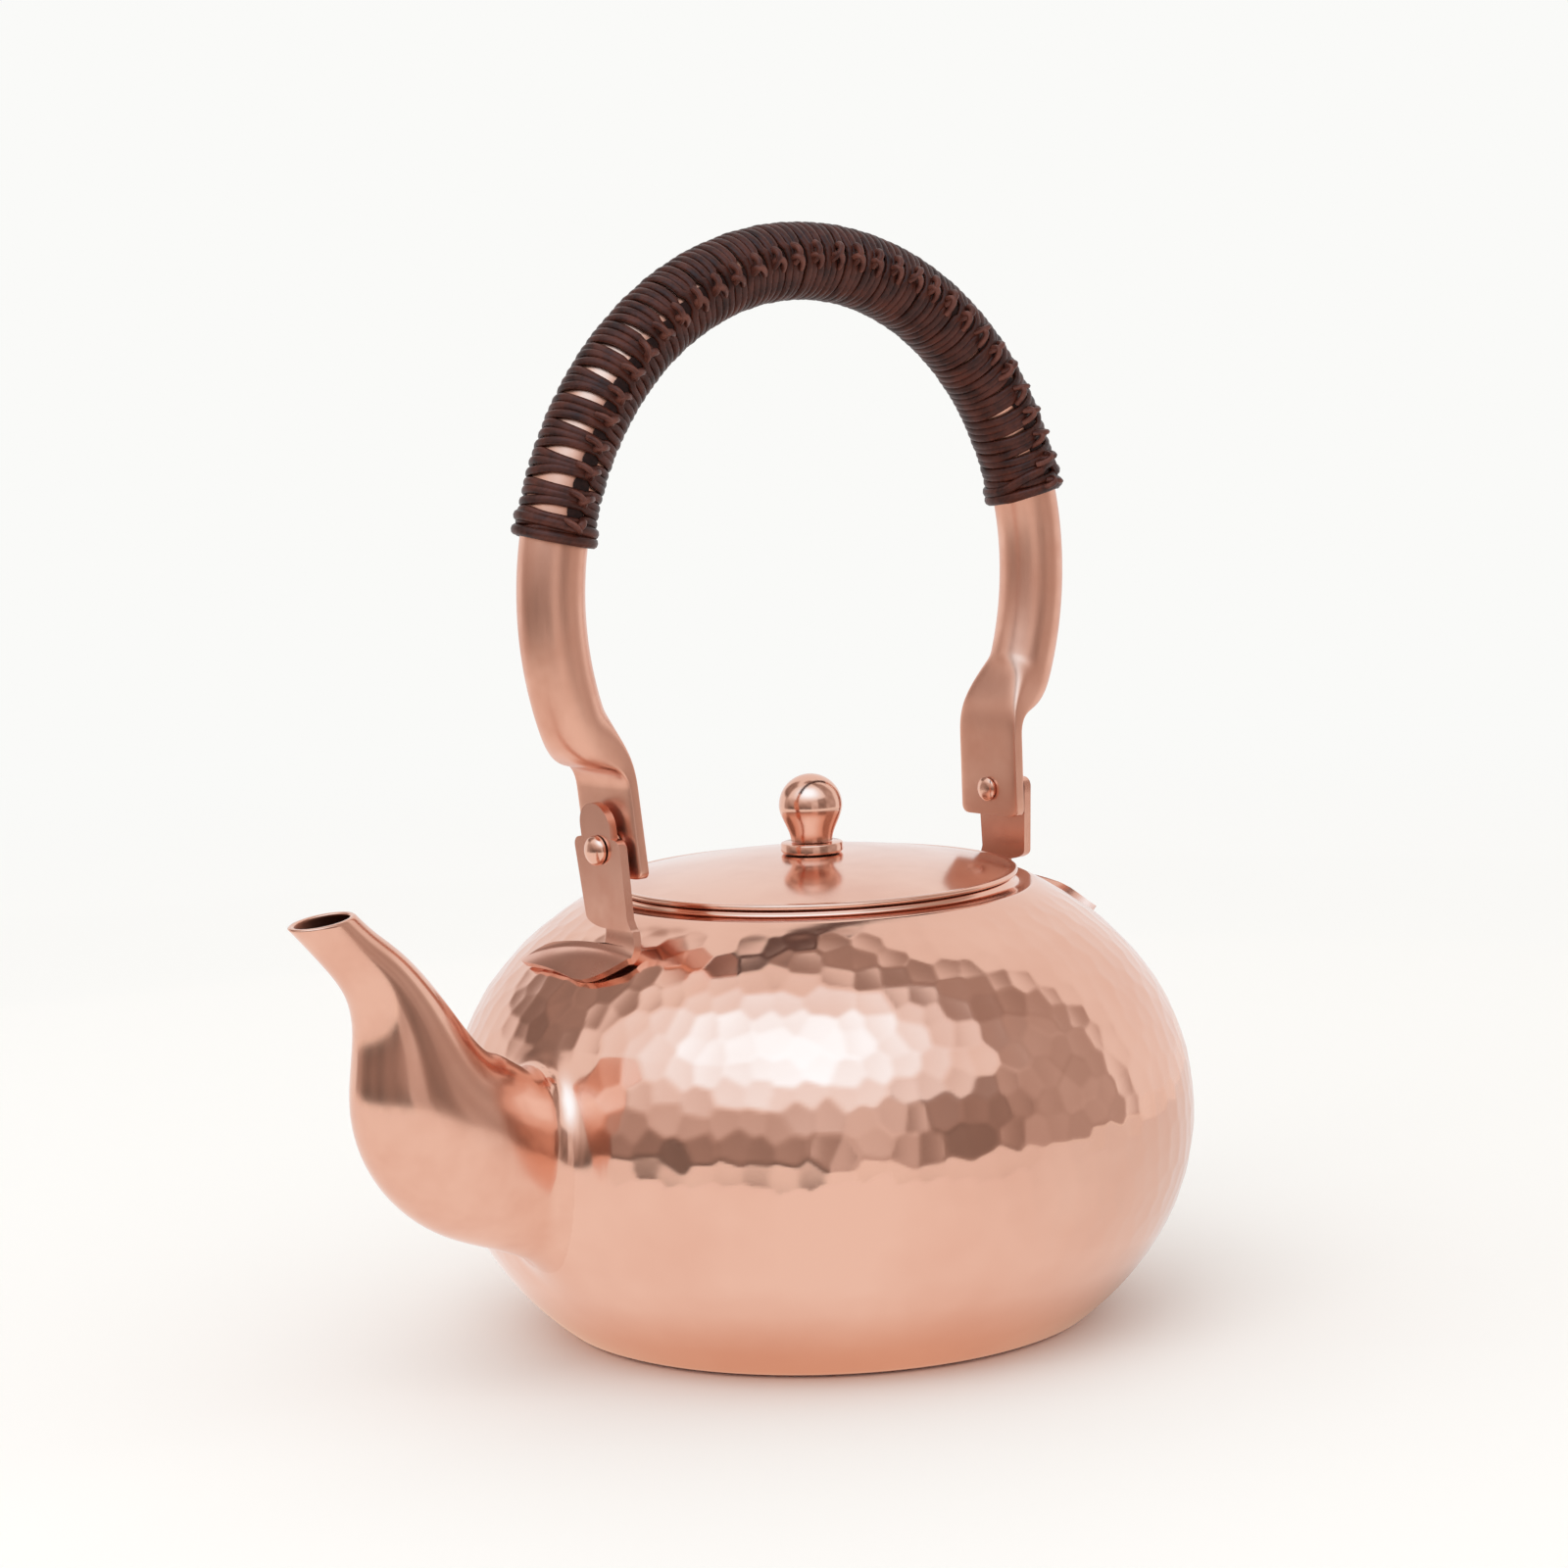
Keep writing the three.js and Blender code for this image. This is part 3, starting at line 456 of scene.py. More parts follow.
# Places of the hammer blows: level rows round the belly, each row set off from the last. A tilted blow is
# the same hollow moved aside and raised, so its centre moves aside and into the wall
def makeBlows():
    rng = np.random.default_rng(hammer["seed"])
    grid = np.linspace(*hammer["turns"], 4000)
    run = runLength(*bellyPoint(grid))
    k, tilt = hammer["hollow"], hammer["tilt"]
    most = (hammer["spareTilt"] * tilt) ** 2 / (4 * k)
    points = []
    for row, place in enumerate(np.arange(0, run[-1], hammer["pitch"])):
        radius = float(bellyPoint(np.interp([place], run, grid))[0][0])
        if radius < hammer["topRadius"] - 4:
            continue
        count = max(8, round(2 * math.pi * radius / hammer["width"]))
        offset = rng.uniform(0, 1)
        for step in range(count):
            lean = np.clip(rng.normal(0, tilt, 2), -hammer["mostTilt"] * tilt, hammer["mostTilt"] * tilt)
            aside, up = -lean / (2 * k) + rng.uniform(-0.5, 0.5, 2) * hammer["jitter"]
            r, h = (float(v[0]) for v in bellyPoint(np.interp([place + up], run, grid)))
            angle = 2 * math.pi * (step + offset + 0.5 * (row % 2)) / count + aside / radius
            sink = math.sqrt(max(0.0, most - float(lean @ lean) / (4 * k)) / k)
            shrink = 1 - sink / math.hypot(r, h - body["height"])
            points.append((r * shrink * math.cos(angle) * mm, r * shrink * math.sin(angle) * mm,
                           (body["height"] + (h - body["height"]) * shrink) * mm))
    mesh = bpy.data.meshes.new("hammerBlows")
    mesh.from_pydata(points, [], [])
    return addObject("hammerBlows", mesh), most


def startTree(name, inputs):
    tree = bpy.data.node_groups.new(name, "GeometryNodeTree")
    tree.interface.new_socket("Geometry", in_out="OUTPUT", socket_type="NodeSocketGeometry")
    for label, kind in inputs.items():
        tree.interface.new_socket(label, in_out="INPUT", socket_type="NodeSocket" + kind)
    return tree, addNode(tree, "NodeGroupInput").outputs


def finishTree(tree, geometry, finish):
    solid = addNode(tree, "GeometryNodeRealizeInstances", {0: geometry})
    soft = addNode(tree, "GeometryNodeSetShadeSmooth", {0: solid, "Shade Smooth": True})
    dressed = addNode(tree, "GeometryNodeSetMaterial", {"Geometry": soft, "Material": finish})
    addNode(tree, "NodeGroupOutput", {"Geometry": dressed})
    return tree


# Each blow leaves a nearly flat facet, and neighbouring facets meet in a low crease
def hammerTree():
    tree, given = startTree("hammerTheBelly", {
        "Geometry": "Geometry", "Blows": "Object", "Hollow": "Float", "Sink": "Float", "Reach": "Float",
        "Copper": "Material"})
    blows = addNode(tree, "GeometryNodeObjectInfo", {"Object": given["Blows"]}, transform_space="RELATIVE")
    nearest = addNode(tree, "GeometryNodeProximity", {0: blows.outputs["Geometry"]}, target_element="POINTS")
    away = addNode(tree, "ShaderNodeMath", {
        0: nearest.outputs["Distance"], 1: given["Reach"]}, operation="MINIMUM")
    square = addNode(tree, "ShaderNodeMath", {0: away, 1: away}, operation="MULTIPLY")
    bowl = addNode(tree, "ShaderNodeMath", {0: square, 1: given["Hollow"]}, operation="MULTIPLY")
    deep = addNode(tree, "ShaderNodeMath", {0: bowl, 1: given["Sink"]}, operation="SUBTRACT")
    weight = addNode(tree, "GeometryNodeInputNamedAttribute", {"Name": "hammered"}, data_type="FLOAT")
    faded = addNode(tree, "ShaderNodeMath", {0: deep, 1: weight}, operation="MULTIPLY")
    normal = addNode(tree, "GeometryNodeInputNormal")
    offset = addNode(tree, "ShaderNodeVectorMath", {0: normal, "Scale": faded}, operation="SCALE")
    moved = addNode(tree, "GeometryNodeSetPosition", {"Geometry": given["Geometry"], "Offset": offset})
    return finishTree(tree, moved, given["Copper"])


# Runs a tree on a piece and leaves a plain mesh
def applyTree(piece, tree, values):
    step = piece.modifiers.new("made", "NODES")
    step.node_group = tree
    for item in tree.interface.items_tree:
        if item.in_out == "INPUT" and item.name in values:
            step[item.identifier] = values[item.name]
    piece.update_tag()
    bpy.context.view_layer.update()
    graph = bpy.context.evaluated_depsgraph_get()
    shaped = piece.evaluated_get(graph)
    mesh = bpy.data.meshes.new_from_object(shaped, preserve_all_data_layers=True, depsgraph=graph)
    piece.modifiers.remove(step)
    piece.data = mesh
    return piece


blows, spare = makeBlows()
belly, bowl, within = makeBody()
applyTree(belly, hammerTree(), {
    "Blows": blows, "Hollow": hammer["hollow"] / mm, "Sink": (spare + hammer["depth"]) * mm,
    "Reach": hammer["reach"] * mm, "Copper": hammeredCopper})
belly.data.attributes.remove(belly.data.attributes["hammered"])
bpy.data.objects.remove(blows)
belly.data.set_sharp_from_angle(angle=math.radians(hammer["sharp"]))
softenJoin(belly)
softenJoin(bowl)
seat(belly, "kettle", "hammered_copper", "body_shell")
seat(bowl, "kettle", "hammered_copper")
seat(within, "kettle", "hammered_copper")
print("body hammered:", len(belly.data.polygons), "faces")


def makeSpout():
    middle, along, deep, wide = throughStations(spout["along"])
    tilt = math.radians(spout["lipTilt"])
    lip = np.array([-math.sin(tilt), 0, math.cos(tilt)])
    angle = 2 * np.pi * np.arange(spout["around"]) / spout["around"]
    lean = smoothstep(spout["lipBegins"], 1, np.linspace(0, 1, spout["along"]))
    spoke = np.stack([-along[:, 2:3] * np.cos(angle), np.repeat(np.sin(angle)[None], len(along), 0),
                      along[:, 0:1] * np.cos(angle)], axis=-1)

    def skin(inset):
        size = np.stack([deep - inset, wide - inset, deep - inset], axis=-1)[:, None, :]
        points = middle[:, None, :] + spoke * size
        toLip = ((middle[:, None, :] - points) @ lip) / (along @ lip)[:, None]
        return points + (lean[:, None] * toLip)[:, :, None] * along[:, None, :]

    def rimRing(inset, share):
        return outside[-1] + (skin(inset)[-1] - skin(0.0)[-1]) * share + lip * spout["lipRound"]

    outside = skin(0.0)
    flat = outside.reshape(-1, 3)
    gap = awayFromBelly(flat)
    meetAtJoin(flat, spoke.reshape(-1, 3), awayFromSpout, awayFromBelly)
    outside = flat.reshape(outside.shape)
    inside = skin(spout["wall"])[::-1]
    outer, inner = spout["lipShares"]
    lipRings = np.array([rimRing(spout["lipEdge"], outer), rimRing(spout["wall"], inner)])
    rings = np.concatenate([outside, lipRings, inside])
    keep = np.concatenate([gap, awayFromBelly(rings[len(outside):].reshape(-1, 3))]) > -body["overlap"]
    first = len(outside) + len(lipRings)
    piece = ringPiece("gooseNeckSpout", rings, [brushedCopper, darkCopper], sharp=spout["sharp"], keep=keep,
                      inner=(first, first + len(inside)))
    softenJoin(piece)
    holdValue(piece, "rubbed", smoothstep(0, spout["rubbedFar"], awayFromBelly(meshPoints(piece))))
    return piece


seat(makeSpout(), "kettle", "polished_copper", "spout")
print("spout lofted")

# Lid and knob, all turned
lid = dict(radius=45.2, bead=0.6, step=0.36, rise=5.1, wall=0.9, clearance=0.7, flangeWall=0.9,
           flangeDepth=7.0, seam=0.3, edge=0.3, flat=38, around=160)
knob = dict(stem=2.2, play=0.15, collarRadius=6.9, collar=2.1, foot=4.6, ball=7.0, height=14.8, burr=5.0,
            burrThick=1.2, tail=1.1, tailRadius=3.3, around=64, sharp=35)
rimZ = seatZ + body["neck"] + lid["seam"] + lid["bead"]
lidTop = rimZ + lid["rise"]


def lidHeight(radius):
    share = np.asarray(radius, float) / (lid["radius"] - lid["bead"])
    return rimZ + lid["step"] + (lid["rise"] - lid["step"]) * (1 - share ** 2)


def makeLid():
    hole = knob["stem"] + knob["play"]
    out = np.concatenate([np.linspace(hole, lid["flat"], 24),
                          np.linspace(lid["flat"] + 0.6, lid["radius"] - 2 * lid["bead"], 10)])
    top = np.stack([out, lidHeight(out)], axis=-1)
    bead = arcPoints((lid["radius"] - lid["bead"], rimZ), lid["bead"], 105, -160, 14)
    under = np.stack([out[::-1], lidHeight(out[::-1]) - lid["wall"]], axis=-1)
    profile = np.concatenate([top, bead, under])
    return ringPiece("lidDome", turned(profile, lid["around"]), [polishedCopper, darkCopper], closedRun=True,
                     sharp=45, inner=(len(top) + len(bead), len(profile)))


def makeFlange():
    outer = body["mouth"] - lid["clearance"]
    inner = outer - lid["flangeWall"]
    top = float(lidHeight(outer)) - lid["wall"] - lid["seam"]
    low = seatZ - lid["flangeDepth"]
    edge = lid["edge"]
    profile = [(inner, low + edge), (inner + edge, low), (outer - edge, low), (outer, low + edge),
               (outer, top - edge), (outer - 0.2, top), (inner + 0.2, top), (inner, top - edge)]
    return ringPiece("lidFlange", turned(profile, lid["around"]), [satinCopper], closedRun=True, sharp=30)


def makeKnob():
    seatKnob = lidTop + 2 * lid["seam"] + knob["collar"]
    burrLow = lidTop - lid["wall"] - lid["seam"] - knob["burrThick"]
    tailTop = burrLow - lid["seam"]
    ballZ = seatKnob + knob["height"] - knob["ball"]
    stem = [(knob["tailRadius"] * out, tailTop - knob["tail"] * drop)
            for out, drop in ((0, 1), (0.5, 1), (0.85, 0.8), (1, 0.35), (0.95, 0))]  # peened end
    stem += [(knob["stem"], tailTop), (knob["stem"], seatKnob)]
    share = np.linspace(0, 1, 16)[:-1]
    pear = np.stack([knob["foot"] + (knob["ball"] - knob["foot"]) * smoothstep(0, 1, share),
                     seatKnob + (ballZ - seatKnob) * share], axis=-1)
    ball = arcPoints((0, ballZ), knob["ball"], 0, 90, 20)
    ball[-1, 0] = 0
    profile = np.concatenate([stem, pear, ball])
    return ringPiece("ballKnob", turned(profile, knob["around"]), [polishedCopper], sharp=knob["sharp"])


# A turned ring that the knob's stem goes through
def stemRing(name, profile, finish):
    return ringPiece(name, turned(profile, knob["around"]), [finish], closedRun=True, sharp=knob["sharp"])


def makeCollar():
    hole, low, outer = knob["stem"] + knob["play"], lidTop + lid["seam"], knob["collarRadius"]
    high = low + knob["collar"]
    return stemRing("knobCollar", [
        (hole, low - 0.1), (outer - 0.9, low - 0.25), (outer - 0.3, low - 0.1), (outer, low + 0.3),
        (outer, high - 0.45), (outer - 0.15, high - 0.12), (outer - 0.45, high), (hole, high)],
        polishedCopper)


def makeBurr():
    hole, high, outer = knob["stem"] + knob["play"], lidTop - lid["wall"] - lid["seam"], knob["burr"]
    low = high - knob["burrThick"]
    return stemRing("knobBurr", [
        (hole, low), (outer - 0.5, low), (outer, low + 0.4), (outer, high), (hole, high)], satinCopper)


seat(makeLid(), "lid", "polished_copper", "lid_cap")
seat(makeFlange(), "lid", "polished_copper", "lid_flange")
seat(makeKnob(), "lid", "polished_copper", "lid_knob")
seat(makeCollar(), "lid", "polished_copper", "knob_collar")
seat(makeBurr(), "lid", "satin_copper", "knob_burr")
print("lid and knob turned")

# Ears, rivets and washers
ear = dict(inner=58.4, thick=2.0, half=7.6, taper=0.7, shoulderRise=2.6, shoulderRound=2.0, tongueRise=10.0,
           tongueHalf=4.9, neckWidth=8.2, neckRise=5.4, cornerDrop=2.4, heelLead=0.3, reach=7.4, tip=25.4,
           heel=11.4, peak=1.0, leafThick=1.6, crown=1.1, sweep=1.6, bendShare=0.34, across=28,
           frontLean=8.0, filed=0.35, filedFrom=50, pivotRise=15.5, shoulderStep=0.12, heelDone=0.4,
           leafGrows=((0.54, 0.62), (0.6, 0.73), (0.7, 0.82), (0.8, 0.89), (0.9, 0.95)), leafEnd=0.975,
           thins=(1.5, 2.0), sharp=35)
pivotZ = seatZ + ear["pivotRise"]
earMiddle = ear["inner"] + ear["thick"] / 2
strapTop = pivotZ + ear["tongueRise"]
strapFoot = float(crownHeight(earMiddle)) + ear["neckRise"]


# Middle of the ear's sheet: stage 0 to 1 is the strap, 1 to 2 the bend and 2 to 3 the leaf
def earSheet(stage, y):
    bendOut = ear["reach"] * ear["bendShare"]

    def strapAt(z):
        return np.stack([np.full_like(y, -earMiddle), y, np.full_like(y, z)], axis=-1)

    def leafAt(out):
        share = out / ear["reach"]
        lift = lid["seam"] + ear["leafThick"] / 2 + ear["crown"] * 4 * share * (1 - share)
        height = crownHeight(np.hypot(earMiddle + out, y)) + lift
        return np.stack([np.full_like(y, -earMiddle - out), y, height], axis=-1)

    if stage <= 1:
        return strapAt(strapTop + (strapFoot - strapTop) * stage)
    if stage >= 2:
        return leafAt(bendOut + (ear["reach"] - bendOut) * (stage - 2))
    t = stage - 1
    return (1 - t) ** 2 * strapAt(strapFoot) + 2 * (1 - t) * t * leafAt(0.0) + t * t * leafAt(bendOut)


# Sideways shift of a leaning strap or tab at a height
def leanAt(z, lean):
    return (z - pivotZ) * math.tan(math.radians(lean))


# Stage, right edge and left edge of the ear's sheet, from the tongue's top to the leaf's end
def earEdges(lean):
    shoulderZ = pivotZ + ear["shoulderRise"]
    footHalf = ear["half"] - ear["taper"]
    neckLeft = ear["neckWidth"] - ear["half"]
    heelReach = ear["heel"] - footHalf
    aside = leanAt(strapFoot, lean)
    rows = []

    def strapRow(z, right, left):
        shift = leanAt(z, lean)
        rows.append(((strapTop - z) / (strapTop - strapFoot), right + shift, left + shift))

    for angle in math.pi / 2 * np.linspace(0.06, 1, 12):
        half = ear["tongueHalf"] * math.sin(angle)
        strapRow(strapTop - ear["tongueHalf"] * (1 - math.cos(angle)), -half, half)
    strapRow(shoulderZ + ear["shoulderStep"], -ear["tongueHalf"], ear["tongueHalf"])
    for angle in math.pi / 2 * np.linspace(0, 1, 7):
        half = ear["half"] - ear["shoulderRound"] * (1 - math.sin(angle))
        strapRow(shoulderZ - ear["shoulderRound"] * (1 - math.cos(angle)), -half, half)
    sideTop, sideFoot = shoulderZ - ear["shoulderRound"], strapFoot + ear["cornerDrop"]
    for share in np.linspace(0.12, 0.88, 6):
        half = ear["half"] - ear["taper"] * share
        strapRow(sideTop + (sideFoot - sideTop) * share, -half, half)
    for share in np.linspace(0, 1, 9):
        angle = math.pi / 2 * share
        strapRow(strapFoot + ear["cornerDrop"] * (1 - math.sin(angle)),
                 -(footHalf + heelReach * ear["heelLead"] * share),
                 footHalf - (footHalf - neckLeft) * (1 - math.cos(angle)))
    heelStart = footHalf + heelReach * ear["heelLead"] - aside
    for t in np.linspace(0.1, 0.48, 5):
        share = min(1, t / ear["heelDone"])
        rows.append((1 + t, -(heelStart + (ear["heel"] - heelStart) * share), neckLeft + aside))
    for t, part in ear["leafGrows"]:
        rows.append((1 + t, -ear["heel"], ear["tip"] * part))
    for onLeaf in np.linspace(0, ear["leafEnd"], 16):
        share = ear["bendShare"] + (1 - ear["bendShare"]) * onLeaf
        right = -ear["heel"] + (ear["heel"] + ear["peak"]) * (1 - math.sqrt(1 - share * share))
        rows.append((2 + onLeaf, right, ear["tip"] + (ear["peak"] - ear["tip"]) * onLeaf ** ear["sweep"]))
    return rows


def makeEar(name, turn, lean):
    small = 0.01
    rings = []
    for stage, right, left in earEdges(lean):
        y = np.linspace(right, left, ear["across"] + 1)
        point = earSheet(stage, y)
        down = earSheet(stage + small, y) - earSheet(stage - small, y)
        side = earSheet(stage, y + small) - earSheet(stage, y - small)
        normal = np.cross(down, side)
        normal /= np.linalg.norm(normal, axis=1, keepdims=True)
        share = float(smoothstep(*ear["thins"], np.array(stage)))
        half = (ear["thick"] + (ear["leafThick"] - ear["thick"]) * share) / 2
        rings.append(np.concatenate([point + normal * half, (point - normal * half)[::-1]]))
    rings = np.array(rings) * otherSide if turn else np.array(rings)
    piece = ringPiece(name, rings, [satinCopper], sharp=ear["sharp"], caps=True)
    soften = piece.modifiers.new("filedEdge", "BEVEL")
    soften.width = ear["filed"] * mm
    soften.segments = 2
    soften.limit_method = "ANGLE"
    soften.angle_limit = math.radians(ear["filedFrom"])
    return piece


pivot = dict(radius=2.2, head=3.2, headRise=2.0, headFoot=0.25, dome=2.2, tail=2.7, tailRise=1.1, washer=4.6,
             edge=0.15, gap=1.4, play=0.25, around=48, sharp=35)
tube = dict(radius=7.2, wall=1.15, slit=0.5, tabWidth=18.4, tabDrop=6.0, tabCorner=1.8, tabRise=12.6,
            arch=70.0, archRise=51.8, archDip=19.0, sweep=9.0, square=6, around=56, bendSteps=22,
            archSteps=70, sharp=50)
tabThick = 2 * tube["wall"] + tube["slit"]
tabOuter = ear["inner"] - pivot["gap"]
tabInner = tabOuter - tabThick
tabMiddle = tabOuter - tabThick / 2


def alongPivot(profile, turn):
    rings = turned(profile, pivot["around"])
    rings = np.stack([-rings[..., 2], rings[..., 1], rings[..., 0] + pivotZ], axis=-1)
    return rings * otherSide if turn else rings


def makeRivet(name, turn):
    low, high = tabInner - lid["seam"], ear["inner"] + ear["thick"] + lid["seam"]
    profile = [(pivot["tail"] * out, low - pivot["tailRise"] * drop)
               for out, drop in ((0, 1), (0.45, 1), (0.8, 0.85), (1, 0.45), (0.97, 0))]  # peened end
    profile += [(pivot["radius"], low), (pivot["radius"], high), (pivot["head"], high)]
    profile += [(pivot["head"] * math.sqrt(max(0.0, 1 - t ** pivot["dome"])),
                 high + pivot["headFoot"] + (pivot["headRise"] - pivot["headFoot"]) * t)
                for t in np.linspace(0.0, 1, 12)]
    return ringPiece(name, alongPivot(profile, turn), [polishedCopper], sharp=pivot["sharp"])


def makeWasher(name, turn):
    hole, low, high = pivot["radius"] + pivot["edge"], tabOuter + pivot["play"], ear["inner"] - pivot["play"]
    outer, edge = pivot["washer"], pivot["edge"]
    profile = [(hole, low), (outer - edge, low), (outer, low + edge), (outer, high - edge),
               (outer - edge, high), (hole, high)]
    return ringPiece(name, alongPivot(profile, turn), [satinCopper], closedRun=True, sharp=pivot["sharp"])


for side, turn, lean in (("front", False, ear["frontLean"]), ("rear", True, 0.0)):
    seat(makeEar(side + "Ear", turn, lean), "kettle", "satin_copper", side + "_ear")
    seat(makeRivet(side + "Rivet", turn), "kettle", "polished_copper", side + "_rivet")
    seat(makeWasher(side + "Washer", turn), "kettle", "satin_copper", side + "_pivot_washer")
print("ears bent and riveted")

# Handle: one tube, its ends pressed flat and set inward
archZ = pivotZ + tube["archRise"]


# Place and direction on the arch, as x, z, along x, along z
def archPlace(angle):
    turn = math.radians(angle)
    rise, reach = math.sin(turn), math.cos(turn)
    return -tube["arch"] * reach, archZ + tube["arch"] * rise, rise, reach


# The tube's run from one tab to the other: place, direction, how far it is pressed flat and its corner's trim
def handleRun():
    run = []
    bottom, top, corner = pivotZ - tube["tabDrop"], pivotZ + tube["tabRise"], tube["tabCorner"]
    for share in (0, 0.03, 0.1, 0.22, 0.4, 0.65, 1):
        rise = corner * share
        trim = corner - math.sqrt(corner ** 2 - (corner - rise) ** 2)
        run.append((-tabMiddle, bottom + rise, 0, 1, 1.0, trim))
    for share in (0.2, 0.4, 0.6, 0.8):
        run.append((-tabMiddle, bottom + corner + (top - bottom - corner) * share, 0, 1, 1.0, 0.0))
    x, z, ax, az = archPlace(-tube["archDip"])
    p = np.array([[-tabMiddle, top], [-tabMiddle, top + tube["sweep"]],
                  [x - ax * tube["sweep"], z - az * tube["sweep"]], [x, z]])
    for i in range(tube["bendSteps"]):
        t = i / tube["bendSteps"]
        point = (1 - t) ** 3 * p[0] + 3 * (1 - t) ** 2 * t * p[1] + 3 * (1 - t) * t * t * p[2] + t ** 3 * p[3]
        slope = 3 * (1 - t) ** 2 * (p[1] - p[0]) + 6 * (1 - t) * t * (p[2] - p[1]) + 3 * t * t * (p[3] - p[2])
        slope /= np.linalg.norm(slope)
        run.append((point[0], point[1], slope[0], slope[1], 1 - float(smoothstep(0, 1, np.array(t))), 0.0))
    for angle in np.linspace(-tube["archDip"], 90, tube["archSteps"]):
        run.append(archPlace(angle) + (0.0, 0.0))
    mirror = [(-a, b, c, -d, e, f) for a, b, c, d, e, f in run[:-1]][::-1]
    return run + mirror


# A ring of the tube: round, or squared off where it is pressed flat
def handleRing(place, inset):
    x, z, alongX, alongZ, flat, trim = place
    deep = tube["radius"] + (tabThick / 2 - tube["radius"]) * flat - inset
    wide = tube["radius"] + (tube["tabWidth"] / 2 - tube["radius"]) * flat - trim - inset
    power = 2 / (2 + tube["square"] * flat)
    angle = 2 * np.pi * np.arange(tube["around"]) / tube["around"]
    inward = deep * np.sign(np.cos(angle)) * np.abs(np.cos(angle)) ** power
    across = wide * np.sign(np.sin(angle)) * np.abs(np.sin(angle)) ** power
    if x < 0:
        across = across + flat * leanAt(z, ear["frontLean"])
    return np.stack([x + alongZ * inward, across, z - alongX * inward], axis=-1)


def makeHandle():
    run = handleRun()
    outside = np.array([handleRing(place, 0.0) for place in run])
    inside = np.array([handleRing(place, tube["wall"]) for place in run])[::-1]
    rings = np.concatenate([outside, inside])
    return ringPiece("bailTube", rings, [drawnCopper], closedRun=True, sharp=tube["sharp"])


seat(makeHandle(), "handle", "satin_copper", "handle_tube")
print("handle bent")

# Grip: flat cord wound in threes, each three drawn together where a hitch locks it along one flank. The
# spans say how far a turn is drawn aside: round the tube, on which side, along each leg and below the hitch
grip = dict(start=12.7, turns=99, bunch=3, width=1.96, thick=1.3, wobble=2.2, squeeze=1.05, tight=(0.35, 1.2),
            girth=(0.99, 1.012), ridgeTurn=12.0, roundTube=(0.0, 0.9), outerSide=(-0.2, 0.12),
            frontLeg=(-0.45, -0.88, 0.2, 1.0), rearLeg=(0.6, 0.85, 0.2, 0.65), belowHitch=(0.92, 0.985),
            around=44, section=10, seed=4)
# A hitch crosses its bunch from one place to another, in millimetres along, across and out. So does its tail
hitch = dict(thick=1.3, wide=1.69, stand=2.3, pull=(0.55, 0.55, 0.0), lean=(0.15, 0.15, 0.3), along=12,
             section=8, over=((-0.5, -2.0, -0.4), (0.6, 1.6, -0.5)),
             tail=((0.7, 0.6, 0.0), (-1.5, 3.0, -1.2)), seeds=(9, 5))
endLoop = dict(turns=2, span=2.0, width=2.4, thick=2.0, wobble=2.5, frontLean=0.12, rearLean=0.16,
               rearSplay=2.4, seed=3)
underCord = dict(width=3.8, thick=0.8, sunk=0.3, turn=4.0, sway=6.0, swayBeats=(47, 31), short=0.3, around=10,
                 along=240, sharp=60)
arcInputs = {"Arch Radius": "Float", "Arch Height": "Float", "Start": "Float", "Sweep": "Float",
             "Turns": "Int", "Ridge Turn": "Float", "Tube Radius": "Float", "Width": "Float",
             "Thickness": "Float", "Seed": "Int", "Cord": "Material"}


# Points along the handle's arch
def arcPlaces(tree, given):
    arc = addNode(tree, "GeometryNodeCurveArc", {
        "Resolution": 256, "Radius": given["Arch Radius"], "Start Angle": given["Start"],
        "Sweep Angle": given["Sweep"]}, mode="RADIUS")
    lift = addNode(tree, "ShaderNodeCombineXYZ", {"Z": given["Arch Height"]})
    stood = addNode(tree, "GeometryNodeTransform", {
        "Geometry": arc, "Translation": lift, "Rotation": (math.pi / 2, 0, 0)})
    return addNode(tree, "GeometryNodeCurveToPoints", {"Curve": stood, "Count": given["Turns"]}, mode="COUNT")


# Directions at any place near the arch: away from the arch's centre, and to the hitched flank
def archWays(tree, given):
    where = addNode(tree, "GeometryNodeInputPosition")
    centre = addNode(tree, "ShaderNodeCombineXYZ", {"Z": given["Arch Height"]})
    fromCentre = addNode(tree, "ShaderNodeVectorMath", {0: where, 1: centre}, operation="SUBTRACT")
    inPlane = addNode(tree, "ShaderNodeVectorMath", {0: fromCentre, 1: (1.0, 0.0, 1.0)}, operation="MULTIPLY")
    outward = addNode(tree, "ShaderNodeVectorMath", {0: inPlane}, operation="NORMALIZE")
    tall = addNode(tree, "ShaderNodeMath", {0: given["Ridge Turn"]}, operation="SINE")
    flank = addNode(tree, "ShaderNodeMath", {0: given["Ridge Turn"]}, operation="COSINE")
    toFlank = addNode(tree, "ShaderNodeVectorMath", {0: (0.0, -1.0, 0.0), "Scale": flank}, operation="SCALE")
    raised = addNode(tree, "ShaderNodeVectorMath", {0: outward, "Scale": tall}, operation="SCALE")
    ridge = addNode(tree, "ShaderNodeVectorMath", {0: raised, 1: toFlank}, operation="ADD")
    return fromCentre, outward, ridge


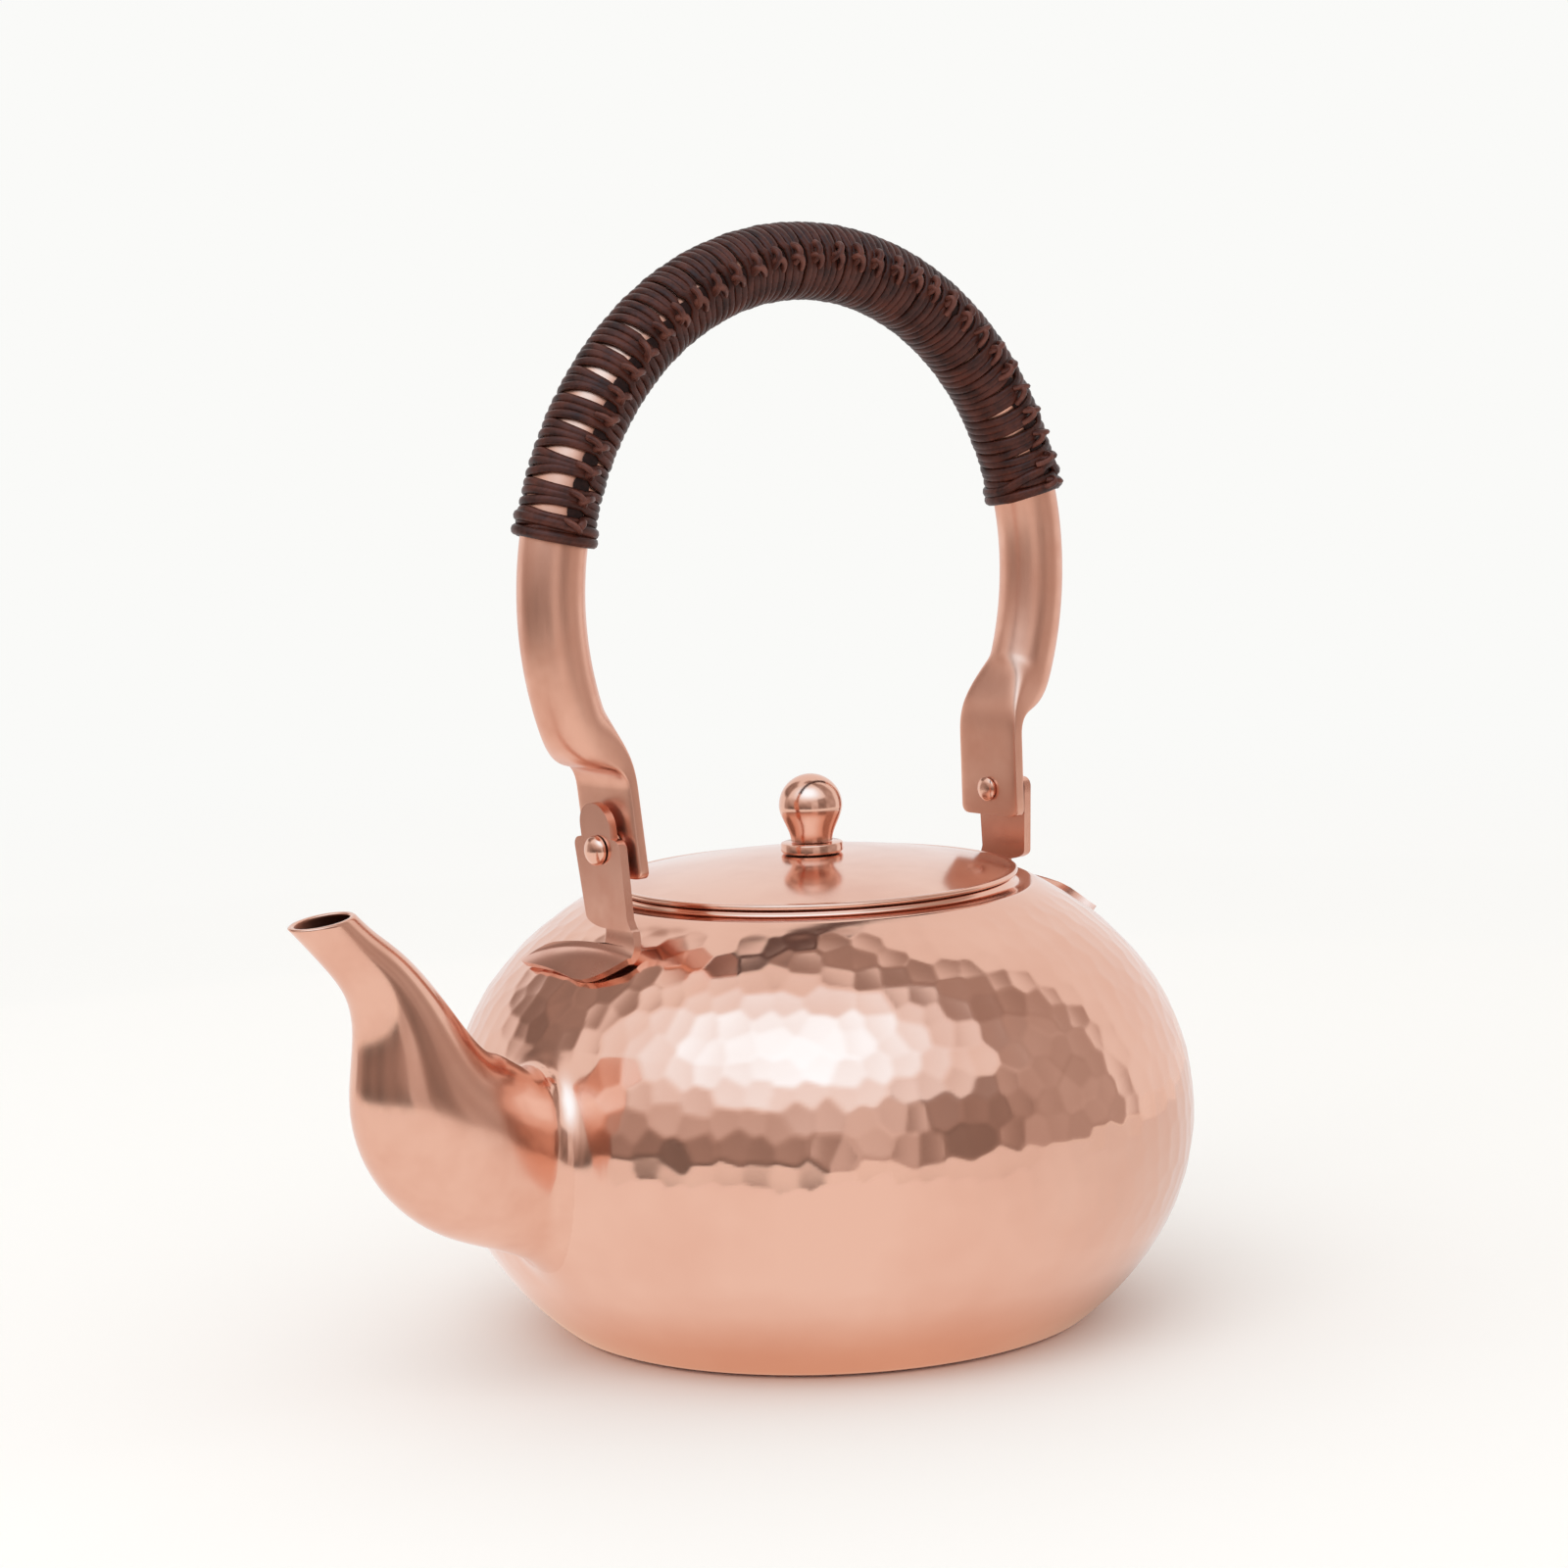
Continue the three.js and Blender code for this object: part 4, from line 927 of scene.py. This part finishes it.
# A strand of cord along a curve, with its length and its girth marked for the cord's ribs
def strandAlong(tree, given, curve, resolution):
    turnShare = addNode(tree, "GeometryNodeSplineParameter")
    marked = addNode(tree, "GeometryNodeStoreNamedAttribute", {
        "Geometry": curve, "Name": "turn", "Value": turnShare}, data_type="FLOAT", domain="POINT")
    section = addNode(tree, "GeometryNodeCurvePrimitiveCircle", {
        "Resolution": resolution, "Radius": 0.5}, mode="RADIUS")
    sideShare = addNode(tree, "GeometryNodeSplineParameter")
    striped = addNode(tree, "GeometryNodeStoreNamedAttribute", {
        "Geometry": section, "Name": "side", "Value": sideShare}, data_type="FLOAT", domain="POINT")
    flat = addNode(tree, "ShaderNodeCombineXYZ", {"X": given["Thickness"], "Y": given["Width"], "Z": 1.0})
    pressed = addNode(tree, "GeometryNodeTransform", {"Geometry": striped, "Scale": flat})
    return addNode(tree, "GeometryNodeCurveToMesh", {
        "Curve": marked, "Profile Curve": pressed, "Fill Caps": True})


# Turns of cord round the tube: each third one starts a new bunch, and bunches close up towards the hitches
def turnsTree():
    tree, given = startTree("windTheCord", dict(arcInputs, Wobble="Float", Squeeze="Float", Lean="Vector"))
    places = arcPlaces(tree, given)
    index = addNode(tree, "GeometryNodeInputIndex")
    third = addNode(tree, "ShaderNodeMath", {0: index, 1: grip["bunch"]}, operation="MODULO")
    step = addNode(tree, "ShaderNodeMath", {0: third, 1: 1.0}, operation="SUBTRACT")
    bunch = addNode(tree, "ShaderNodeMath", {0: index, 1: grip["bunch"]}, operation="DIVIDE")
    bunchId = addNode(tree, "ShaderNodeMath", {0: bunch}, operation="FLOOR")
    tight = addNode(tree, "FunctionNodeRandomValue", {
        2: grip["tight"][0], 3: grip["tight"][1], "ID": bunchId, "Seed": given["Seed"]}, data_type="FLOAT")
    drawn = addNode(tree, "ShaderNodeMath", {0: step, 1: tight.outputs[1]}, operation="MULTIPLY")
    tagged = addNode(tree, "GeometryNodeStoreNamedAttribute", {
        "Geometry": places, "Name": "drawn", "Value": drawn}, data_type="FLOAT", domain="POINT")
    half = addNode(tree, "ShaderNodeMath", {
        0: given["Thickness"], 1: 0.5, 2: given["Tube Radius"]}, operation="MULTIPLY_ADD")
    ring = addNode(tree, "GeometryNodeCurvePrimitiveCircle", {
        "Resolution": grip["around"], "Radius": half}, mode="RADIUS")
    wound = addNode(tree, "GeometryNodeInstanceOnPoints", {
        "Points": tagged, "Instance": ring, "Rotation": places.outputs["Rotation"]})
    least = addNode(tree, "ShaderNodeMath", {0: given["Wobble"], 1: -1.0}, operation="MULTIPLY")
    low = addNode(tree, "ShaderNodeCombineXYZ", {"X": least, "Y": least, "Z": 0.0})
    high = addNode(tree, "ShaderNodeCombineXYZ", {"X": given["Wobble"], "Y": given["Wobble"], "Z": 0.0})
    lean = addNode(tree, "FunctionNodeRandomValue", {
        0: low, 1: high, "Seed": given["Seed"]}, data_type="FLOAT_VECTOR")
    tilted = addNode(tree, "ShaderNodeVectorMath", {0: lean, 1: given["Lean"]}, operation="ADD")
    leaned = addNode(tree, "GeometryNodeRotateInstances", {"Instances": wound, "Rotation": tilted})
    girth = addNode(tree, "FunctionNodeRandomValue", {
        2: grip["girth"][0], 3: grip["girth"][1], "Seed": given["Seed"]}, data_type="FLOAT")
    sized = addNode(tree, "GeometryNodeScaleInstances", {"Instances": leaned, "Scale": girth.outputs[1]})
    loose = addNode(tree, "GeometryNodeRealizeInstances", {0: sized})
    fromCentre, outward, ridge = archWays(tree, given)
    onArch = addNode(tree, "ShaderNodeVectorMath", {
        0: outward, "Scale": given["Arch Radius"]}, operation="SCALE")
    offAxis = addNode(tree, "ShaderNodeVectorMath", {0: fromCentre, 1: onArch}, operation="SUBTRACT")
    spoke = addNode(tree, "ShaderNodeVectorMath", {0: offAxis}, operation="NORMALIZE")
    close = addNode(tree, "ShaderNodeVectorMath", {
        0: spoke, 1: ridge}, operation="DOT_PRODUCT").outputs["Value"]
    axis = addNode(tree, "ShaderNodeVectorMath", {0: outward, 1: (0.0, -1.0, 0.0)}, operation="CROSS_PRODUCT")
    outer = addNode(tree, "ShaderNodeVectorMath", {0: ridge, 1: axis}, operation="CROSS_PRODUCT")
    offRidge = addNode(tree, "ShaderNodeVectorMath", {
        0: spoke, 1: outer}, operation="DOT_PRODUCT").outputs["Value"]
    along = addNode(tree, "ShaderNodeSeparateXYZ", {0: outward})
    toFront = addNode(tree, "ShaderNodeMath", {0: along, 1: -1.0}, operation="MULTIPLY")
    frontSide = addNode(tree, "ShaderNodeMath", {0: offRidge, 1: toFront}, operation="MULTIPLY")
    pull, outside, onFront, onRear, narrow = (
        addNode(tree, "ShaderNodeMapRange", {
            "Value": value, **span(*grip[limits])}, interpolation_type="SMOOTHSTEP")
        for value, limits in ((close, "roundTube"), (frontSide, "outerSide"), (along, "frontLeg"),
                              (along, "rearLeg"), (close, "belowHitch")))
    onLeg = addNode(tree, "ShaderNodeMath", {0: onFront, 1: onRear}, operation="MAXIMUM")
    oneSided = addNode(tree, "ShaderNodeMath", {0: pull, 1: outside}, operation="MULTIPLY")
    broad = addNode(tree, "ShaderNodeMath", {0: oneSided, 1: onLeg}, operation="MULTIPLY")
    strong = addNode(tree, "ShaderNodeMath", {0: broad, 1: narrow}, operation="MAXIMUM")
    shift = addNode(tree, "GeometryNodeInputNamedAttribute", {"Name": "drawn"}, data_type="FLOAT")
    amount = addNode(tree, "ShaderNodeMath", {0: strong, 1: shift}, operation="MULTIPLY")
    scaled = addNode(tree, "ShaderNodeMath", {0: amount, 1: given["Squeeze"]}, operation="MULTIPLY")
    move = addNode(tree, "ShaderNodeVectorMath", {0: axis, "Scale": scaled}, operation="SCALE")
    bunched = addNode(tree, "GeometryNodeSetPosition", {"Geometry": loose, "Offset": move})
    faced = addNode(tree, "GeometryNodeSetCurveNormal", {"Curve": bunched, "Normal": spoke}, mode="FREE")
    return finishTree(tree, strandAlong(tree, given, faced, grip["section"]), given["Cord"])


# Hitches: short strands that stand over the flank, one to a bunch, and run in under its inner side
def hitchTree():
    tree, given = startTree("hitchTheTurns", dict(arcInputs, Stand="Float", Begin="Vector", Finish="Vector"))
    places = arcPlaces(tree, given)
    ridge = archWays(tree, given)[2]
    facing = addNode(tree, "FunctionNodeAxesToRotation", {
        "Primary Axis": ridge, "Secondary Axis": places.outputs["Tangent"]},
        primary_axis="Z", secondary_axis="X")
    offset = addNode(tree, "ShaderNodeVectorMath", {
        0: ridge, "Scale": given["Tube Radius"]}, operation="SCALE")
    top = addNode(tree, "ShaderNodeCombineXYZ", {"Z": given["Stand"]})
    begin, finish = given["Begin"], given["Finish"]
    rising, falling = (addNode(tree, "ShaderNodeVectorMath", {0: end, 1: hitch["pull"], 2: top},
                               operation="MULTIPLY_ADD") for end in (begin, finish))
    path = addNode(tree, "GeometryNodeCurvePrimitiveBezierSegment", {
        "Resolution": hitch["along"], "Start": begin, "Start Handle": rising, "End Handle": falling,
        "End": finish}, mode="POSITION")
    strand = strandAlong(tree, given, path, hitch["section"])
    raised = addNode(tree, "GeometryNodeSetPosition", {"Geometry": places, "Offset": offset})
    laid = addNode(tree, "GeometryNodeInstanceOnPoints", {
        "Points": raised, "Instance": strand, "Rotation": facing})
    lean = addNode(tree, "FunctionNodeRandomValue", {
        0: [-v for v in hitch["lean"]], 1: hitch["lean"], "Seed": given["Seed"]}, data_type="FLOAT_VECTOR")
    leaned = addNode(tree, "GeometryNodeRotateInstances", {"Instances": laid, "Rotation": lean})
    return finishTree(tree, leaned, given["Cord"])


# Flat strand that lies on the tube below the hitches, in the near-black shaded cord: painted shade in the
# holes between the hitches
def makeUnderCord():
    rings = []
    angle = 2 * np.pi * np.arange(underCord["around"]) / underCord["around"]
    start, stop = grip["start"] + underCord["short"], 180 - underCord["short"] - grip["start"]
    fast, slow = underCord["swayBeats"]
    for place in np.radians(np.linspace(start, stop, underCord["along"])):
        sway = underCord["sway"] * math.sin(fast * place) * math.sin(slow * place + 1)
        ridge = math.radians(underCord["turn"] + sway)
        outward = np.array([math.cos(place), 0, math.sin(place)])
        way = outward * math.sin(ridge) - np.array([0, math.cos(ridge), 0])
        side = outward * math.cos(ridge) + np.array([0, math.sin(ridge), 0])
        off = tube["radius"] + underCord["thick"] / 2 - underCord["sunk"]
        middle = np.array([0, 0, archZ]) + outward * tube["arch"] + way * off
        rings.append(middle + np.cos(angle)[:, None] * side * underCord["width"] / 2
                     + np.sin(angle)[:, None] * way * underCord["thick"] / 2)
    return ringPiece("underCord", rings, [shadedCord], sharp=underCord["sharp"], caps=True)


def cordPiece(name, tree, values):
    arch = {"Arch Radius": tube["arch"] * mm, "Arch Height": archZ * mm, "Tube Radius": tube["radius"] * mm,
            "Ridge Turn": math.radians(grip["ridgeTurn"]), "Cord": waxedCord}
    return applyTree(addObject(name, bpy.data.meshes.new(name)), tree, {**arch, **values})


windTree = turnsTree()
gripSweep = math.radians(180 - 2 * grip["start"])
seat(cordPiece("gripTurns", windTree, {
    "Start": math.radians(grip["start"]), "Sweep": gripSweep, "Turns": grip["turns"],
    "Width": grip["width"] * mm, "Thickness": grip["thick"] * mm, "Wobble": math.radians(grip["wobble"]),
    "Squeeze": grip["squeeze"] * mm, "Seed": grip["seed"]}), "handle", "waxed_cord", "grip_wrap")
for name, start, splay, lean in (
        ("frontLoops", 180 - grip["start"], 0.0, endLoop["frontLean"]),
        ("rearLoops", grip["start"] + endLoop["span"], endLoop["rearSplay"], endLoop["rearLean"])):
    seat(cordPiece(name, windTree, {
        "Start": math.radians(start), "Sweep": math.radians(-endLoop["span"]), "Turns": endLoop["turns"],
        "Width": endLoop["width"] * mm, "Thickness": endLoop["thick"] * mm, "Squeeze": splay * mm,
        "Wobble": math.radians(endLoop["wobble"]), "Lean": (0.0, lean, 0.0), "Seed": endLoop["seed"]}),
        "handle", "waxed_cord")
lockTree = hitchTree()
turnStep = gripSweep / (grip["turns"] - 1)
overSeed, tailSeed = hitch["seeds"]
for name, strand, seed in (("gripHitches", "over", overSeed), ("gripHitchTails", "tail", tailSeed)):
    begin, end = ([v * mm for v in place] for place in hitch[strand])
    seat(cordPiece(name, lockTree, {
        "Start": math.radians(grip["start"]) + turnStep, "Sweep": (grip["turns"] - grip["bunch"]) * turnStep,
        "Turns": grip["turns"] // grip["bunch"], "Tube Radius": (tube["radius"] + grip["thick"]) * mm,
        "Begin": begin, "Finish": end, "Stand": hitch["stand"] * mm,
        "Thickness": hitch["thick"] * mm, "Width": hitch["wide"] * mm, "Seed": seed, "Cord": litCord}),
        "handle", "waxed_cord")
seat(makeUnderCord(), "handle", "waxed_cord")
print("grip wound")

# Stage: a pale floor, a white room, one big soft light and the darker room behind the camera
studio = dict(floor="#f8f6f4", room="#fafaf8", roomStrength=1.0, keyWatts=5, keySize=(1.2, 1.0),
              keyWay=(-24, 50), away=1.7, dusk="#ffe8df", softbox="#fafdff", heart=(0.3, 1.05, 1.65),
              floorHalf=6.0, floorNear=0.35, floorFar=1.1, floorRough=0.6, floorShine=0.2)
# Darker walls of the room: angles round the kettle from the camera, heights, brightness at the low and the
# high edge, and how soft the edge is, all angles in degrees
patches = [
    dict(angles=(-99, 4), rises=(-9, 26), low=0.02, high=0.9, soft=3.0),
    dict(angles=(3, 29), rises=(-9, 25), low=0.6, high=0.82, soft=2.5),
    dict(angles=(28, 62), rises=(-9, 27), low=0.3, high=0.34, soft=2.5),
    dict(angles=(60, 104), rises=(-9, 29), low=0.5, high=0.54, soft=5.0),
    dict(angles=(66, 107), rises=(24, 80), low=0.54, high=0.32, soft=4.0),
    dict(angles=(72, 246), rises=(73.5, 92), low=0.38, high=0.34, soft=4.0),
    dict(angles=(219, 261), rises=(18, 58), low=0.26, high=0.42, soft=7.0),
    dict(angles=(250, 275), rises=(-9, 20), low=0.4, high=0.6, soft=4.0),
]
room = dict(angles=(-93, 267), rises=(-5, 89), steps=(160, 42), shell=1.12, level=0.96, uneven=0.08,
            waves=(0.14, 0.23, 0.06), duskShare=1.6, middle=(-13, 52.5), spread=(55, 20.5), centre=0.06)
floorGlow = dict(near="#e2bfa9", far="#f9f9f9", shadeAt=105, shade=0.5, shadeFade=0.7, fade=1.5, around=72,
                 lift=0.4, rings=(0.0575, 0.06, 0.064, 0.07, 0.078, 0.09, 0.12, 0.18, 0.3, 0.5))
camera = dict(place=(-0.62870, -0.71550, 0.24384), right=(0.7514, -0.6588, -0.0370),
              up=(0.1132, 0.0736, 0.9908), back=(-0.6501, -0.7487, 0.1299), lens=100.085, sensor=36.0)


# A direction by its angle round the kettle, counted from the camera's side, and its height in degrees
def direction(angle, rise):
    base = math.atan2(camera["back"][1], camera["back"][0])
    a, e = base + math.radians(angle), math.radians(rise)
    return Vector((math.cos(a) * math.cos(e), math.sin(a) * math.cos(e), math.sin(e)))


# Light from the room in one direction: a white room, its darker walls and the heart of the softbox
def roomLight(angle, rise):
    level = room["level"]
    across, up, slant = room["waves"]
    for patch in patches:
        inside = 1.0
        for value, (low, high) in ((angle, patch["angles"]), (rise, patch["rises"])):
            inside *= float(smoothstep(-patch["soft"] / 2, patch["soft"] / 2, min(value - low, high - value)))
        low, high = patch["rises"]
        share = min(1, max(0, (rise - low) / (high - low)))
        wall = patch["low"] + (patch["high"] - patch["low"]) * share
        wall += room["uneven"] * math.sin(across * angle + 2) * math.sin(up * rise + slant * angle + 1)
        level += (wall - level) * inside
    shade = min(1, (room["level"] - level) / room["level"] * room["duskShare"])
    off = zip((angle, rise), room["middle"], room["spread"])
    lit = math.exp(-sum(abs((value - middle) / wide) ** 3 for value, middle, wide in off))
    tints = zip(hexToLinear(studio["softbox"]), hexToLinear(studio["dusk"]), studio["heart"])
    return [level * (bright + (dusk - bright) * shade) + lit * heart for bright, dusk, heart in tints] + [1.0]


# Walls of the room, from the floor up to a small hole overhead
def roomShell():
    points, faces, glow = [], [], []
    across, up = room["steps"]
    for angle in np.linspace(*room["angles"], across + 1):
        for rise in np.linspace(*room["rises"], up + 1):
            reach = studio["away"] * room["shell"]
            if rise < 0:  # low walls end on the floor
                reach = min(reach, (room["centre"] - mm) / math.sin(math.radians(-rise)))
            points.append(direction(angle, rise) * reach + Vector((0, 0, room["centre"])))
            glow += roomLight(angle, rise)
    for i in range(across):
        for k in range(up):
            a = i * (up + 1) + k
            faces.append((a, a + 1, a + up + 2, a + up + 1))
    return points, faces, glow


# Ring on the floor round the base, seen only in reflections: painted shade, darker and warm close to the
# copper where the kettle's shadow and bounce fall, and in shade on the side away from the light
def floorRing(first):
    points, faces, glow = [], [], []
    rings, around = floorGlow["rings"], floorGlow["around"]
    near, far = hexToLinear(floorGlow["near"]), hexToLinear(floorGlow["far"])
    for i, radius in enumerate(rings):
        share = float(smoothstep(rings[0], floorGlow["fade"] * rings[0], radius))
        for k in range(around):
            angle = 360 * k / around
            points.append(direction(angle, 0) * radius + Vector((0, 0, floorGlow["lift"] * mm)))
            side = max(0, math.cos(math.radians(angle - floorGlow["shadeAt"]))) ** 2
            lit = 1 - floorGlow["shade"] * side * (1 - floorGlow["shadeFade"] * share)
            glow += [(n + (f - n) * share) * lit for n, f in zip(near, far)]
            if i:
                a, b, c = first + (i - 1) * around, first + i * around, (k + 1) % around
                faces.append((a + k, b + k, b + c, a + c))
    return points, faces, glow


# Shell round the stage that only reflections see
def makeRoom():
    material, tree = startMaterial("roomInReflections")
    level = addNode(tree, "ShaderNodeAttribute", attribute_name="glow")
    light = addNode(tree, "ShaderNodeEmission", {"Color": level, "Strength": 1.0})
    addNode(tree, "ShaderNodeOutputMaterial", {"Surface": light})
    points, faces, glow = roomShell()
    points, faces, glow = (a + b for a, b in zip((points, faces, glow), floorRing(len(points))))
    mesh = bpy.data.meshes.new("roomInReflections")
    mesh.from_pydata(points, [], faces)
    mesh.materials.append(material)
    mesh.attributes.new("glow", "FLOAT_COLOR", "POINT").data.foreach_set("color", glow)
    piece = addObject("roomInReflections", mesh)
    piece.visible_camera = piece.visible_diffuse = piece.visible_shadow = piece.visible_transmission = False


# Matt floor that fades into the white of the room, so no horizon shows
def makeFloor():
    material, tree = startMaterial("paleFloor")
    shader = addNode(tree, "ShaderNodeBsdfPrincipled", {
        "Base Color": hexToLinear(studio["floor"]), "Roughness": studio["floorRough"],
        "Specular IOR Level": studio["floorShine"]})
    place = addNode(tree, "ShaderNodeTexCoord").outputs["Object"]
    away = addNode(tree, "ShaderNodeVectorMath", {0: place}, operation="LENGTH").outputs["Value"]
    fade = addNode(tree, "ShaderNodeMapRange", {
        "Value": away, **span(studio["floorNear"], studio["floorFar"])}, interpolation_type="SMOOTHSTEP")
    sweep = addNode(tree, "ShaderNodeEmission", {
        "Color": hexToLinear(studio["room"]), "Strength": studio["roomStrength"]})
    joined = addNode(tree, "ShaderNodeMixShader", {0: fade, 1: shader, 2: sweep})
    addNode(tree, "ShaderNodeOutputMaterial", {"Surface": joined})
    mesh = bpy.data.meshes.new("floor")
    half = studio["floorHalf"]
    corners = [(-half, -half, 0), (half, -half, 0), (half, half, 0), (-half, half, 0)]
    mesh.from_pydata(corners, [], [(0, 1, 2, 3)])
    mesh.materials.append(material)
    addObject("floor", mesh)


def makeLight():
    world = bpy.data.worlds.new("whiteRoom")
    bpy.context.scene.world = world
    world.use_nodes = True
    world.node_tree.nodes.clear()
    glow = addNode(world.node_tree, "ShaderNodeBackground", {
        "Color": hexToLinear(studio["room"]), "Strength": studio["roomStrength"]})
    addNode(world.node_tree, "ShaderNodeOutputWorld", {"Surface": glow})
    key = bpy.data.lights.new("softKey", "AREA")
    key.shape = "RECTANGLE"
    key.size, key.size_y = studio["keySize"]
    key.energy = studio["keyWatts"]
    lamp = addObject("softKey", key)
    way = direction(*studio["keyWay"])
    lamp.location = way * studio["away"] + Vector((0, 0, room["centre"]))
    lamp.rotation_mode = "QUATERNION"
    lamp.rotation_quaternion = way.to_track_quat("Z", "Y")
    lamp.visible_glossy = False  # its reflection is the softbox in the room shell


def makeCamera():
    data = bpy.data.cameras.new("camera")
    data.lens = camera["lens"]
    data.sensor_width = camera["sensor"]
    holder = addObject("camera", data)
    turn = Matrix((camera["right"], camera["up"], camera["back"])).transposed()
    holder.rotation_mode = "QUATERNION"
    holder.rotation_quaternion = turn.to_quaternion()
    holder.location = camera["place"]
    bpy.context.scene.camera = holder


makeFloor()
makeLight()
makeRoom()
makeCamera()
bpy.context.scene.view_settings.view_transform = "Standard"
print("stage set")

bpy.context.view_layer.update()
